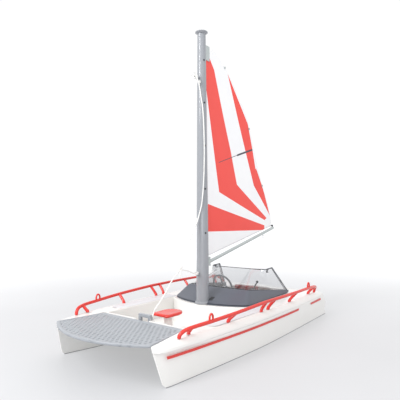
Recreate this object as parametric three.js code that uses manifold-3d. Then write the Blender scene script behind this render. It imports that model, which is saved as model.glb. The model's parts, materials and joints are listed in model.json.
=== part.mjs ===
// Toy sailing catamaran: two hull shells, one deck moulding with a foredeck well and a cockpit,
// a tapered mast with a swinging boom and sail, handrails, windshield and helm.
// Millimetres, +Z up, +X towards the bow, +Y to port. The keels stand on z = 0.
import * as THREE from 'three';
import { mergeVertices } from 'three/addons/utils/BufferGeometryUtils.js';
import Module from 'manifold-3d';

const wasm = await Module();
wasm.setup();

// ---- driving dimensions ----
const gap = 0.3; // clearance left between pieces that touch
const seamHeight = 34; // joint between the hull shells and the deck
const deckHeight = 42.4;
const deckTop = deckHeight + gap; // what stands on the deck starts here
const hullWall = 2.2;
const hullFloor = 2.6;
const deckWall = 2;
const wellFloorTop = 17.5;
const wellWall = 1.8;

const prongBack = 127; // rear edge of the opening between the bows
const prongBackHalf = 66;
const prongTip = { x: 187.6, y: 75.2 };
const netApex = 212.75;
const netThickness = 3;
const netTop = 42.2;

const foreWell = { front: 125, back: 24.5, half: 61.5, bulge: 0.0058 };
const cockpit = { front: -24, back: -150, half: 47 };

const coamingBase = { front: 20.5, side: 63.4, aft: -126, aftSide: 60 };
const coamingTop = { front: -19.5, side: 52.5, height: 60.1, aftHeight: 47.5 };
const coamingWall = 4;

const glassTop = { front: -74.5, side: 48.4, height: 82.4, aft: -96.4, aftSide: 48.4, aftHeight: 83.4 };
const glassThickness = 1.3;

const mastX = 12.45;
const mastBase = { z: deckTop, radius: 8.75 };
const mastTop = { z: 414.6, radius: 5.9 };
const mastBore = 4.4;
const capHeight = 3.3;
const capRadius = 8.8;
const clipHeights = [138, 198, 257.5, 317, 376.5];
const clipRadius = 1.3;
const clipAzimuth = THREE.MathUtils.degToRad(70);

const boomRoot = { x: -4, z: 97.8 };
const boomEnd = { x: -189.5, z: 140.4 };
const boomRadius = 2.4;
const swingX = -1; // vertical axis that the boom and sail turn about
const goose = { bottom: 92, top: 104.5, plate: 2, half: 2.4, pin: 1.2 };
const sailThickness = 0.8;

const railRadius = 2;
const railSides = 10;
const cordRadius = 0.7;

const wheelCentre = new THREE.Vector3(-63, -19.4, 56);
const wheelRadius = 15.8;
const wheelRim = 1.5;
const wheelTilt = THREE.MathUtils.degToRad(25);
const leverPivot = new THREE.Vector3(-70, 29, 51.4);
const leverTip = new THREE.Vector3(-13, 0, 10); // from the pivot
const leverPin = 1;
const leverBoss = 2.4;

// ---- finishes ----
function finish(color, roughness, extra = {}) {
  return new THREE.MeshStandardMaterial({ color, roughness, metalness: 0, ...extra });
}
const whiteAbs = finish('#f1f0ee', 0.3);
const redAbs = finish('#d8463f', 0.32);
const mastGrey = finish('#a2a5a8', 0.38);
const netGrey = finish('#a9adb2', 0.45);
const darkGrey = finish('#6d7077', 0.42);
const boomGrey = finish('#ced3d3', 0.36);
const clearSmoke = finish('#d3d6d8', 0.08, { transparent: true, opacity: 0.35 });
const clipBlack = finish('#3a3b3f', 0.5);
const sailCloth = finish('#f6f6f5', 0.7);
const cottonCord = finish('#efeee9', 0.9);
const stripeRed = finish('#cf443e', 0.4);

const boat = new THREE.Group();
boat.name = 'sailing_catamaran';

// ---- general helpers ----
function addPart(name, shape, material) {
  const geometry = shape.isBufferGeometry ? shape : toGeometry(shape);
  const mesh = new THREE.Mesh(geometry, material);
  mesh.name = name;
  boat.add(mesh);
  return mesh;
}

function toSolid(geometry) {
  const bare = geometry.clone();
  bare.deleteAttribute('normal');
  bare.deleteAttribute('uv');
  const merged = mergeVertices(bare, 1e-4);
  const mesh = new wasm.Mesh({
    numProp: 3,
    vertProperties: new Float32Array(merged.attributes.position.array),
    triVerts: new Uint32Array(merged.index.array),
  });
  return new wasm.Manifold(mesh);
}

function toGeometry(solid) {
  const mesh = solid.getMesh();
  const geometry = new THREE.BufferGeometry();
  geometry.setAttribute('position', new THREE.BufferAttribute(new Float32Array(mesh.vertProperties), 3));
  geometry.setIndex(new THREE.BufferAttribute(new Uint32Array(mesh.triVerts), 1));
  geometry.computeVertexNormals();
  return geometry;
}

function join(...geometries) {
  return geometries.map(toSolid).reduce((whole, piece) => whole.add(piece));
}

function cut(geometry, ...tools) {
  const start = geometry.isBufferGeometry ? toSolid(geometry) : geometry;
  return tools.map(toSolid).reduce((whole, tool) => whole.subtract(tool), start);
}

function box(x0, x1, y0, y1, z0, z1) {
  const geometry = new THREE.BoxGeometry(x1 - x0, y1 - y0, z1 - z0);
  geometry.translate((x0 + x1) / 2, (y0 + y1) / 2, (z0 + z1) / 2);
  return geometry;
}

// upright cylinder or cone frustum standing on z0
function post(x, y, z0, z1, lowRadius, highRadius = lowRadius, sides = 24) {
  const geometry = new THREE.CylinderGeometry(highRadius, lowRadius, z1 - z0, sides);
  geometry.rotateX(Math.PI / 2);
  geometry.translate(x, y, (z0 + z1) / 2);
  return geometry;
}

// cylinder between two points
function rod(from, to, radius, sides = 16) {
  const along = new THREE.Vector3().subVectors(to, from);
  const geometry = new THREE.CylinderGeometry(radius, radius, along.length(), sides);
  const turn = new THREE.Quaternion().setFromUnitVectors(new THREE.Vector3(0, 1, 0), along.clone().normalize());
  geometry.applyQuaternion(turn);
  geometry.translate((from.x + to.x) / 2, (from.y + to.y) / 2, (from.z + to.z) / 2);
  return geometry;
}

// a stack of outlines with the same number of points, skinned from the first to the last
function loft(rings) {
  const plan = rings[0].map((p) => new THREE.Vector2(p.x, p.y));
  const levels = rings.length - 1;
  const options = { depth: levels, steps: levels, bevelEnabled: false };
  const geometry = new THREE.ExtrudeGeometry(new THREE.Shape(plan), options);
  const position = geometry.attributes.position;
  for (let i = 0; i < position.count; i += 1) {
    const x = position.getX(i);
    const y = position.getY(i);
    const level = Math.round(position.getZ(i));
    const k = plan.findIndex((p) => Math.abs(p.x - x) < 1e-4 && Math.abs(p.y - y) < 1e-4);
    const p = rings[level][k];
    position.setXYZ(i, p.x, p.y, p.z);
  }
  return geometry;
}

// flat outline raised from z0 to z1
function prism(outline, z0, z1) {
  const levels = [z0, z1];
  return loft(levels.map((z) => outline.map((p) => new THREE.Vector3(p.x, p.y, z))));
}

// round bar along a smooth curve through the points
function sweep(points, radius, sides, steps) {
  const circle = [];
  for (let i = 0; i < sides; i += 1) {
    const angle = (2 * Math.PI * i) / sides;
    circle.push(new THREE.Vector2(radius * Math.cos(angle), radius * Math.sin(angle)));
  }
  const path = new THREE.CatmullRomCurve3(points, false, 'centripetal');
  return new THREE.ExtrudeGeometry(new THREE.Shape(circle), { steps, extrudePath: path });
}

function mirrored(geometry) {
  const copy = geometry.clone();
  copy.scale(1, -1, 1);
  const flat = copy.index ? copy.toNonIndexed() : copy;
  const position = flat.attributes.position;
  for (let i = 0; i < position.count; i += 3) {
    const a = new THREE.Vector3().fromBufferAttribute(position, i);
    const b = new THREE.Vector3().fromBufferAttribute(position, i + 1);
    position.setXYZ(i, b.x, b.y, b.z);
    position.setXYZ(i + 1, a.x, a.y, a.z);
  }
  flat.computeVertexNormals();
  return flat;
}

const vec = (x, y, z) => new THREE.Vector3(x, y, z);
const spline = (pairs) => new THREE.SplineCurve(pairs.map(([x, y]) => new THREE.Vector2(x, y)));

// ---- hull form: plan curves of the port hull, each from bow to stern ----
const hullSteps = 22;
const outerSeam = spline([
  [186.4, 77.2], [180, 83], [158, 86.4], [98, 91.4], [25, 95], [-60, 95.3], [-130, 92.6], [-192, 88.6],
]);
const outerKeel = spline([
  [173.8, 81.1], [168, 82.6], [143, 85], [97, 88], [17, 91], [-60, 90.2], [-130, 88], [-209.5, 85],
]);
const innerSeam = spline([
  [186.4, 75.6], [160, 71.2], [127, 67], [98, 65.4], [25, 64.5], [-60, 64.2], [-130, 64.4], [-192, 65],
]);
const innerKeel = spline([
  [173.8, 80.1], [160, 78.4], [113, 71.7], [60, 68], [0, 66.4], [-60, 66], [-130, 66.2], [-209.5, 67],
]);

// stem and transom profile: height, blend from keel to seam curve, shift at the bow and at the stern
const hullProfile = [
  { z: 0, blend: 0, bow: -1.8, stern: 0, inset: 1.2 },
  { z: 1.8, blend: 0.05, bow: 1.4, stern: -1.4, inset: 0 },
  { z: 8, blend: 0.23, bow: 2.2, stern: 0.8, inset: 0 },
  { z: 20, blend: 0.59, bow: 1.2, stern: -7.4, inset: 0 },
  { z: 28, blend: 0.82, bow: 0.6, stern: -3.6, inset: 0 },
  { z: seamHeight, blend: 1, bow: 0, stern: 0, inset: 0 },
];

function profileAt(z) {
  const upper = hullProfile.findIndex((level) => level.z >= z);
  const b = hullProfile[upper];
  const a = hullProfile[Math.max(upper - 1, 0)];
  const t = b.z > a.z ? (z - a.z) / (b.z - a.z) : 0;
  const mix = (key) => THREE.MathUtils.lerp(a[key], b[key], t);
  return { z, blend: mix('blend'), bow: mix('bow'), stern: mix('stern'), inset: mix('inset') };
}

// closed outline of the hull at one height, from station `first` to station `last` (0 bow, 1 stern)
function hullRing(level, first = 0, last = 1, inset = level.inset) {
  const side = (keel, seam, u, inward) => {
    const p = keel.getPoint(u).lerp(seam.getPoint(u), level.blend);
    const x = p.x + level.bow * (1 - u) ** 6 + level.stern * u ** 6;
    const room = first > 0 ? inset : Math.min(inset, 0.3 + 5 * u); // the stem is only 1 mm wide
    return vec(x, p.y + inward * room, level.z);
  };
  const stations = [];
  for (let i = 0; i <= hullSteps; i += 1) stations.push(THREE.MathUtils.lerp(first, last, i / hullSteps));
  const outer = stations.map((u) => side(outerKeel, outerSeam, u, -1));
  const inner = stations.reverse().map((u) => side(innerKeel, innerSeam, u, 1));
  return outer.concat(inner);
}

function hullShell() {
  const outside = loft(hullProfile.map((level) => hullRing(level)));
  const cavityLevels = [hullFloor, 8, 20, 28, seamHeight].map(profileAt);
  cavityLevels.push({ ...profileAt(seamHeight), z: seamHeight + 1 });
  const cavity = loft(cavityLevels.map((level) => hullRing(level, 0.13, 0.965, hullWall)));
  return toGeometry(cut(outside, cavity));
}

function addHulls() {
  const port = hullShell();
  addPart('port_hull', port, whiteAbs);
  addPart('starboard_hull', mirrored(port), whiteAbs);
}

// ---- deck ----
const deckProfile = [
  { z: seamHeight + gap, bow: 0.1, stern: 0.5, bevel: 0 },
  { z: 36.5, bow: 0.8, stern: 4, bevel: 0.3 },
  { z: 40, bow: 1.9, stern: 13.5, bevel: 2 },
  { z: deckHeight, bow: 0.6, stern: 26, bevel: 4 },
];
const bowDrop = 1.6; // the deck falls away slightly at the bow tips

function prongInner(x) {
  const t = (x - prongBack) / (prongTip.x - prongBack);
  return THREE.MathUtils.lerp(prongBackHalf, prongTip.y, t);
}

function deckSide(level, inset = 0, first = 0, last = 1) {
  const points = [];
  for (let i = 0; i <= hullSteps; i += 1) {
    const u = THREE.MathUtils.lerp(first, last, i / hullSteps);
    const p = outerSeam.getPoint(u);
    const x = p.x + level.bow * (1 - u) ** 6 + level.stern * u ** 6;
    const innermost = x > prongBack ? prongInner(x) + 0.9 : 0;
    const y = Math.max(p.y - level.bevel - inset, innermost);
    const drop = level.z === deckHeight ? bowDrop * THREE.MathUtils.smoothstep(x, 130, 188) : 0;
    points.push(vec(x, y, level.z - drop));
  }
  return points;
}

function deckRing(level) {
  const port = deckSide(level);
  const starboard = port.map((p) => vec(p.x, -p.y, p.z)).reverse();
  const tipX = port[0].x;
  const tipZ = port[0].z;
  const notch = [
    vec(tipX, -prongInner(tipX), tipZ),
    vec(prongBack, -prongBackHalf, level.z),
    vec(prongBack, prongBackHalf, level.z),
    vec(tipX, prongInner(tipX), tipZ),
  ];
  return port.concat(starboard, notch);
}

// hollow under one side deck, open below
function sideCavity() {
  const inside = 66.6;
  const low = { z: seamHeight - 1, bow: 0, stern: 0.5, bevel: 0 };
  const high = { z: deckHeight - deckWall, bow: 0, stern: 14, bevel: 2.6 };
  const ring = (level) => {
    const outer = deckSide(level, hullWall, 0.16, 0.93);
    return outer.concat([vec(outer[hullSteps].x, inside, level.z), vec(outer[0].x, inside + 2.6, level.z)]);
  };
  return loft([ring(low), ring(high)]);
}

// plan of the foredeck well: straight sides, rear wall bulging forward under the mast
function foreWellPlan(grow) {
  const points = [];
  const half = foreWell.half + grow;
  const backAt = (y) => foreWell.back - grow - foreWell.bulge * y * y;
  const count = 12;
  for (let i = 0; i <= count; i += 1) {
    const y = THREE.MathUtils.lerp(half, -half, i / count);
    points.push(vec(backAt(y), y, 0));
  }
  points.push(vec(foreWell.front + grow, -half, 0), vec(foreWell.front + grow, half, 0));
  return points;
}

function addDeck() {
  const slab = loft(deckProfile.map(deckRing));
  const cavity = sideCavity();
  const belowZ = seamHeight - 1;
  const aboveZ = deckHeight + 1;
  const plateUnder = deckHeight - deckWall;
  const foreOpening = prism(foreWellPlan(wellWall + gap), belowZ, aboveZ);
  const cockpitOpening = box(cockpit.back, cockpit.front, -cockpit.half, cockpit.half, belowZ, aboveZ);
  const tubRoom = box(tub.back - wellWall - gap, tub.front + wellWall + gap,
    -tub.half - wellWall - gap, tub.half + wellWall + gap, belowZ, plateUnder);
  const mastBay = box(tub.front + wellWall, 14, -40, 40, belowZ, plateUnder);
  const stepHole = post(mastX, 0, belowZ, aboveZ, spigotRadius + gap);
  const deck = cut(slab, cavity, mirrored(cavity), foreOpening, cockpitOpening, tubRoom, mastBay, stepHole);
  addPart('deck', deck, whiteAbs);
}

const tub = { front: -14, back: -162, half: 61.5 };
const spigotRadius = 3.9;
const spigotTop = 78;

function addWells() {
  const outer = prism(foreWellPlan(wellWall), wellFloorTop - deckWall, deckHeight);
  const inner = prism(foreWellPlan(0), wellFloorTop, deckHeight + 1);
  const tongueSlot = box(foreWell.front - 1, foreWell.front + wellWall + 1,
    -tongue.half - gap, tongue.half + gap, tongue.top - tongue.plate - gap, deckHeight + 1);
  addPart('foredeck_well', cut(outer, inner, tongueSlot), whiteAbs);

  const rim = deckHeight - deckWall - gap;
  const shell = box(tub.back - wellWall, tub.front + wellWall, -tub.half - wellWall, tub.half + wellWall,
    wellFloorTop - deckWall, rim);
  const room = box(tub.back, tub.front, -tub.half, tub.half, wellFloorTop, rim + 1);
  addPart('cockpit_tub', cut(shell, room), whiteAbs);
}

function addMastStep() {
  const plateUnder = deckHeight - deckWall - gap;
  const flange = box(-9, 13, -16, 16, plateUnder - 4, plateUnder);
  const spigot = post(mastX, 0, plateUnder - 4, spigotTop, spigotRadius);
  addPart('mast_step', join(flange, spigot), whiteAbs);
}

// ---- foredeck fittings ----
const tongue = { aft: 117.6, half: 10.4, top: 38.4, plate: 2.2 }; // hooked over the front wall of the well
const bracket = { x: 121.4, half: 9.6, bar: 3.8, height: 9.2 }; // arch that the stay is tied to

function netPlan(inset) {
  const points = [];
  const corner = prongTip.x + 1;
  const count = 16;
  for (let i = 0; i <= count; i += 1) {
    const t = THREE.MathUtils.lerp(-1, 1, i / count);
    const half = prongInner(corner) - 0.4 - inset;
    const x = netApex - inset - (netApex - corner) * t * t;
    points.push(vec(x, t * half, 0));
  }
  points.push(vec(prongBack + 1.2 + inset, prongBackHalf - 0.2 - inset, 0));
  points.push(vec(prongBack + 1.2 + inset, -prongBackHalf + 0.2 + inset, 0));
  return points;
}

function addNet() {
  const rim = prism(netPlan(0), netTop - netThickness, netTop);
  const panelDip = prism(netPlan(3), netTop - 0.6, netTop + 1);
  const under = tongue.top - tongue.plate;
  const plate = box(tongue.aft, prongBack + 5, -tongue.half, tongue.half, under, tongue.top);
  const riser = box(prongBack + 1.2, prongBack + 4, -tongue.half, tongue.half, under, netTop - 1);
  addPart('trampoline_net', cut(toGeometry(join(rim, plate, riser)), panelDip), netGrey);

  const { x, half, bar, height } = bracket;
  const foot = tongue.top + gap;
  const top = foot + height;
  const outside = box(x - bar / 2, x + bar / 2, -half, half, foot, top);
  const inside = box(x - bar, x + bar, -half + bar, half - bar, foot - 1, top - bar);
  addPart('stay_bracket', cut(outside, inside), netGrey);
}

function addForedeckSeat() {
  const seat = { front: 98, back: 62.5, half: 13.5, top: 43.4, thickness: 3.6 };
  const pedestalX = 82;
  const corner = 3;
  const plan = [
    vec(seat.front, -seat.half + corner, 0),
    vec(seat.front, seat.half - corner, 0),
    vec(seat.front - corner, seat.half, 0),
  ];
  const centre = seat.back + seat.half;
  const count = 14;
  for (let i = 0; i <= count; i += 1) {
    const angle = Math.PI / 2 + (Math.PI * i) / count;
    plan.push(vec(centre + seat.half * Math.cos(angle), seat.half * Math.sin(angle), 0));
  }
  plan.push(vec(seat.front - corner, -seat.half, 0));
  const under = seat.top - seat.thickness;
  addPart('foredeck_seat', prism(plan, under, seat.top), redAbs);
  const pedestal = post(pedestalX, 0, wellFloorTop + gap, under - gap, 6, 5.2);
  addPart('seat_pedestal', pedestal, whiteAbs);
}

// ---- cockpit coaming, dashboard and windshield ----
const frontSteps = 10;

// U-shaped front line from port to starboard: a parabola between two side points
function frontLine(apexX, sideX, side, z) {
  const points = [];
  for (let i = 0; i <= frontSteps; i += 1) {
    const y = THREE.MathUtils.lerp(side, -side, i / frontSteps);
    points.push(vec(apexX + (sideX - apexX) * (y / side) ** 2, y, z));
  }
  return points;
}

function coamingRing(front, inner, z, aftZ, aftSide) {
  const innerSide = 49.5;
  const innerAft = 56;
  const portAft = [vec(coamingBase.aft, innerAft, aftZ), vec(coamingBase.aft, aftSide, aftZ)];
  const back = frontLine(inner + 1.5, inner, innerSide, z).reverse();
  return [
    ...portAft, ...front,
    vec(coamingBase.aft, -aftSide, aftZ), vec(coamingBase.aft, -innerAft, aftZ),
    ...back,
  ];
}

function addCoaming() {
  const low = deckHeight + gap;
  const lowFront = frontLine(coamingBase.front, -1, coamingBase.side, low);
  const highFront = frontLine(coamingTop.front + 2, coamingTop.front, coamingTop.side, coamingTop.height);
  const inner = coamingTop.front - coamingWall - 1;
  const body = loft([
    coamingRing(lowFront, inner, low, low, coamingBase.aftSide),
    coamingRing(highFront, inner, coamingTop.height, coamingTop.aftHeight, coamingBase.aftSide - 0.6),
  ]);
  const mastNotch = post(mastX, 0, low - 1, coamingTop.height + 1, mastBase.radius + 0.7, undefined, 32);
  addPart('coaming', cut(body, mastNotch), darkGrey);
}

const sideConsole = { back: -86, front: -46, inner: 20 };

function addDashboard() {
  const half = 46;
  const low = 45;
  const profile = [[-25.2, 57], [-38, 57], [-47, 49], [-47, low], [-25.2, low]];
  const shape = new THREE.Shape(profile.map(([x, z]) => new THREE.Vector2(x, z)));
  const panel = new THREE.ExtrudeGeometry(shape, { depth: 2 * half, bevelEnabled: false });
  panel.rotateX(Math.PI / 2);
  panel.translate(0, half, 0);
  // console beside the helm, just clear under the throttle's boss
  const { back, front, inner } = sideConsole;
  const console = box(back, front, inner, half, low, leverPivot.z - leverBoss - gap - 0.1);
  addPart('dashboard', join(panel, console), darkGrey);
}

function glassOutline(base, inset) {
  // corner points of one windshield level, port aft round the front to starboard aft
  const points = frontLine(base.front, base.front - base.bow, base.side - inset, base.z);
  const port = vec(base.aft, base.aftSide - inset, base.aftZ);
  const starboard = vec(base.aft, -base.aftSide + inset, base.aftZ);
  return [port, ...points, starboard].map((p) => vec(p.x - inset, p.y, p.z));
}

function addWindshield() {
  const lift = 0.3;
  const low = {
    front: coamingTop.front - 0.8, bow: 2, side: coamingTop.side - 1, z: coamingTop.height + lift,
    aft: coamingBase.aft + 1, aftSide: coamingBase.aftSide - 2, aftZ: coamingTop.aftHeight + lift,
  };
  const high = {
    front: glassTop.front + 1, bow: 2, side: glassTop.side, z: glassTop.height,
    aft: glassTop.aft, aftSide: glassTop.aftSide, aftZ: glassTop.aftHeight,
  };
  const ring = (base) => glassOutline(base, 0).concat(glassOutline(base, glassThickness).reverse());
  addPart('windshield', loft([ring(low), ring(high)]), clearSmoke);
}

// ---- helm ----
function addHelm() {
  const rim = new THREE.TorusGeometry(wheelRadius, wheelRim, 10, 36);
  const hub = new THREE.CylinderGeometry(3, 3, 4, 20).rotateX(Math.PI / 2);
  const spokes = [90, 210, 330].map((degrees) => {
    const angle = THREE.MathUtils.degToRad(degrees);
    const tip = vec(Math.cos(angle), Math.sin(angle), 0).multiplyScalar(wheelRadius);
    return rod(vec(0, 0, 0), tip, 1.2, 10);
  });
  const wheel = toGeometry(join(rim, hub, ...spokes));
  // the shaft runs forward and down; the wheel's own +Y stays in the vertical plane
  const axis = vec(Math.cos(wheelTilt), 0, -Math.sin(wheelTilt));
  const upright = vec(Math.sin(wheelTilt), 0, Math.cos(wheelTilt));
  const turn = new THREE.Matrix4().makeBasis(vec(0, 1, 0), upright, axis);
  wheel.applyMatrix4(turn);
  wheel.translate(wheelCentre.x, wheelCentre.y, wheelCentre.z);
  addPart('steering_wheel', wheel, mastGrey);

  const start = wheelCentre.clone().addScaledVector(axis, 2 + gap);
  const end = wheelCentre.clone().addScaledVector(axis, 12.2);
  addPart('steering_column', rod(start, end, 2.2), clipBlack);

  // a cylinder across the boat, centred on the lever's pivot
  const across = (half, radius, sides) => rod(leverPivot.clone().add(vec(0, -half, 0)),
    leverPivot.clone().add(vec(0, half, 0)), radius, sides);
  addPart('throttle_pivot', across(3.5, leverPin, 16), clipBlack);
  const eye = across(1.3, leverBoss, 20);
  const bore = across(2, leverPin + gap, 20);
  const tip = leverPivot.clone().add(leverTip);
  const knob = new THREE.SphereGeometry(1.9, 14, 10).translate(tip.x, tip.y, tip.z);
  const arm = rod(leverPivot.clone().addScaledVector(leverTip, 0.11), tip, 1);
  const lever = toGeometry(join(eye, arm, knob));
  addPart('throttle_lever', cut(lever, bore), clipBlack);
}

function addHelmSeat() {
  const seat = { front: -98, back: -128, centre: -16, half: 21, cushionTop: 32, top: 46, rest: 6 };
  const starboard = seat.centre - seat.half;
  const port = seat.centre + seat.half;
  const cushion = box(seat.back, seat.front, starboard, port, wellFloorTop + gap, seat.cushionTop);
  const rest = box(seat.back, seat.back + seat.rest, starboard, port, seat.cushionTop - 0.5, seat.top);
  addPart('helm_seat', join(cushion, rest), redAbs);
}

// ---- mast and its fittings ----
function mastRadiusAt(z) {
  const t = (z - mastBase.z) / (mastTop.z - mastBase.z);
  return THREE.MathUtils.lerp(mastBase.radius, mastTop.radius, t);
}

function onMast(azimuth, z, outward) {
  const r = mastRadiusAt(z) + outward;
  return vec(mastX + r * Math.cos(azimuth), r * Math.sin(azimuth), z);
}

function addMast() {
  const tube = post(mastX, 0, mastBase.z, mastTop.z, mastBase.radius, mastTop.radius, 40);
  const bore = post(mastX, 0, mastBase.z - 1, mastTop.z - 4, mastBore, mastBore - 1, 24);
  const holes = clipHeights.map((z) => rod(onMast(clipAzimuth, z, -3), onMast(clipAzimuth, z, 2),
    clipRadius + gap, 12));
  addPart('mast', cut(tube, bore, ...holes), mastGrey);
  const cap = post(mastX, 0, mastTop.z + gap, mastTop.z + capHeight, mastTop.radius + 0.8, capRadius, 40);
  addPart('mast_cap', cap, mastGrey);
  clipHeights.forEach((z, i) => {
    const clip = rod(onMast(clipAzimuth, z, -2.2), onMast(clipAzimuth, z, 0.4), clipRadius, 12);
    addPart(`sail_clip_${i + 1}`, clip, clipBlack);
  });
}

const stayHook = { reach: 4.4, rise: 0.6, armRadius: 1.3, hornLow: -1, hornHigh: 3.2, hornRadius: 1.1 };

// small horn on the front of the mast that a cord is tied to
function addStayHook(name, z) {
  const { reach, rise, armRadius, hornLow, hornHigh, hornRadius } = stayHook;
  const root = onMast(0, z, gap + 0.1);
  const tip = root.clone().add(vec(reach, 0, rise));
  const arm = rod(root, tip, armRadius, 12);
  const horn = rod(tip.clone().add(vec(-0.6, 0, hornLow)), tip.clone().add(vec(0.2, 0, hornHigh)), hornRadius, 12);
  addPart(name, join(arm, horn), mastGrey);
}

// ---- boom, gooseneck and sail ----
function boomCentre(x) {
  const t = (x - boomRoot.x) / (boomEnd.x - boomRoot.x);
  return vec(x, 0, THREE.MathUtils.lerp(boomRoot.z, boomEnd.z, t));
}

function addBoom() {
  const lugFront = mastX - mastRadiusAt(90) - gap - 0.05;
  const { bottom, top, plate, half } = goose;
  const lug = (z) => box(swingX - half, lugFront, -half, half, z, z + plate);
  const pin = post(swingX, 0, bottom, top, goose.pin, goose.pin, 16);
  const backPlate = box(lugFront - 1, lugFront, -half, half, bottom, top);
  addPart('gooseneck', join(lug(bottom), lug(top - plate), pin, backPlate), boomGrey);

  const eye = post(swingX, 0, bottom + plate + gap, top - plate - gap, 2.9, 2.9, 24);
  const bore = post(swingX, 0, bottom, top, goose.pin + gap, goose.pin + gap, 16);
  const bar = rod(boomCentre(swingX - 2), boomCentre(boomEnd.x), boomRadius, 18);
  addPart('boom', cut(toGeometry(join(eye, bar)), bore), boomGrey);

  const ring = new THREE.TorusGeometry(2.2, 0.6, 8, 20);
  const hang = boomCentre(-154.7);
  ring.rotateX(Math.PI / 2);
  ring.translate(hang.x, 0, hang.z - boomRadius - 3.3);
  addPart('boom_ring', ring, clearSmoke);
}

const sailClew = { x: -182.8, z: 143.6 };
const headTop = { x: -13, z: 401.6 };
const battenEnds = [[-43.8, 383.4], [-111.6, 302], [-152.2, 212]]; // beads in the sail's rear edge
const battenBead = 1.6;
const headTab = { front: 4.6, back: -5, low: 381, high: 402.4 };

// sail outline in the x-z plane, luff upwards, then down the leech to the clew
function sailOutline() {
  const leech = new THREE.SplineCurve([
    [headTop.x, headTop.z], [-43.6, 384.5], [-87.2, 342.2], [-111.9, 307.7], [-126.1, 271.3],
    [-146.4, 224.7], [-162.8, 196.7], [-178.9, 162.6], [sailClew.x, sailClew.z],
  ].map(([x, z]) => new THREE.Vector2(x, z)));
  const tack = [new THREE.Vector2(-3.9, goose.top + 0.4), new THREE.Vector2(2.1, goose.top + 0.7)];
  const luff = [tack[1]];
  luff.push(new THREE.Vector2(headTab.front, headTab.low - gap));
  luff.push(new THREE.Vector2(headTab.back - gap, headTab.low - gap));
  luff.push(new THREE.Vector2(headTab.back - gap, headTop.z));
  return luff.concat(leech.getPoints(26), [tack[0]]);
}

function addSail() {
  const outline = new THREE.Shape(sailOutline());
  const sheet = new THREE.ExtrudeGeometry(outline, { depth: sailThickness, bevelEnabled: false });
  sheet.rotateX(Math.PI / 2);
  sheet.translate(0, sailThickness / 2, 0);
  const bead = ([x, z], half, radius) => rod(vec(x, -half, z), vec(x, half, z), radius);
  const beadHoles = battenEnds.map((end) => bead(end, sailThickness, battenBead + gap));
  addPart('sail', cut(sheet, ...beadHoles), sailCloth);
  addPart('head_tab', box(headTab.back, headTab.front, -1.2, 1.2, headTab.low, headTab.high), boomGrey);
  const clewZ = boomCentre(-188).z + boomRadius + gap;
  addPart('clew_clip', box(-188, -183.4, -1.5, 1.5, clewZ, clewZ + 3), clipBlack);
  battenEnds.forEach((end, i) => {
    addPart(`batten_clip_${i + 1}`, bead(end, battenBead, battenBead), boomGrey);
  });
}

// ---- rails ----
const forwardRail = {
  path: [
    [156.5, 82, deckTop], [156.2, 82.4, 45], [152.5, 84.5, 48.6], [145, 87, 50.5], [118, 91.5, 52],
    [77, 96, 54], [14, 98.8, 56.4], [4.7, 99.3, 56.5],
  ],
  feet: [
    [[141, 81.2, deckTop], [143.4, 87.3, 50.6]],
    [[77.5, 86, deckTop], [77, 96, 54]],
    [[10.6, 89.8, deckTop], [13, 98.8, 56.3]],
  ],
  eyelet: [116.8, 91.6, 52],
};
const aftRail = {
  path: [
    [3.9, 99.3, 56.5], [-6, 99.8, 56.5], [-69, 100.7, 56.6], [-115, 98.6, 56], [-146, 93.8, 53.2],
    [-155, 90.6, 50], [-158.6, 87.6, 46.2], [-159, 86.4, deckTop],
  ],
  feet: [
    [[-5.8, 90, deckTop], [-7, 99.8, 56.4]],
    [[-66, 90.2, deckTop], [-68, 100.7, 56.5]],
    [[-137, 86.4, deckTop], [-139, 95.2, 54]],
  ],
  eyelet: [-110, 99, 56],
};

function railSolid({ path, feet, eyelet }) {
  const points = path.map(([x, y, z]) => vec(x, y, z));
  const bar = sweep(points, railRadius, railSides, 36);
  const legs = feet.map(([low, high]) => {
    const base = vec(...low);
    const top = vec(...high);
    const knee = base.clone().lerp(top, 0.35);
    knee.y = THREE.MathUtils.lerp(base.y, top.y, 0.2);
    return sweep([base, base.clone().add(vec(0, 0, 1.4)), knee, top], railRadius - 0.1, railSides, 5);
  });
  const [ex, ey, ez] = eyelet;
  const loop = [
    vec(ex + 2.6, ey, ez), vec(ex + 2.8, ey, ez + 4.6), vec(ex + 1.6, ey, ez + 7), vec(ex, ey, ez + 7.8),
    vec(ex - 1.6, ey, ez + 7), vec(ex - 2.8, ey, ez + 4.6), vec(ex - 2.6, ey, ez),
  ];
  return toGeometry(join(bar, ...legs, sweep(loop, 1.1, 6, 12)));
}

function addRails() {
  const rails = { forward_rail: forwardRail, aft_rail: aftRail };
  Object.entries(rails).forEach(([name, design]) => {
    const port = railSolid(design);
    addPart(`${name}_port`, port, redAbs);
    addPart(`${name}_starboard`, mirrored(port), redAbs);
  });
}

// ---- side stripes: thin strips just outside the hull skin ----
function stripe(first, last) {
  const strip = { low: 27.6, high: 30.4, thickness: 0.5 };
  const lowLevel = profileAt(strip.low);
  const highLevel = profileAt(strip.high);
  const count = 14;
  const ring = (level) => {
    const at = (u, out) => {
      const p = outerKeel.getPoint(u).lerp(outerSeam.getPoint(u), level.blend);
      return vec(p.x + level.bow * (1 - u) ** 6 + level.stern * u ** 6, p.y + out, level.z);
    };
    const stations = [];
    for (let i = 0; i <= count; i += 1) stations.push(THREE.MathUtils.lerp(first, last, i / count));
    const outside = stations.map((u) => at(u, gap + strip.thickness));
    const inside = stations.reverse().map((u) => at(u, gap));
    return outside.concat(inside);
  };
  return loft([ring(lowLevel), ring(highLevel)]);
}

function addStripes() {
  const spans = { stripe: [0.168, 0.765], stripe_aft: [0.862, 0.945] };
  Object.entries(spans).forEach(([name, [first, last]]) => {
    const port = stripe(first, last);
    addPart(`port_${name}`, port, stripeRed);
    addPart(`starboard_${name}`, mirrored(port), stripeRed);
  });
}

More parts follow.
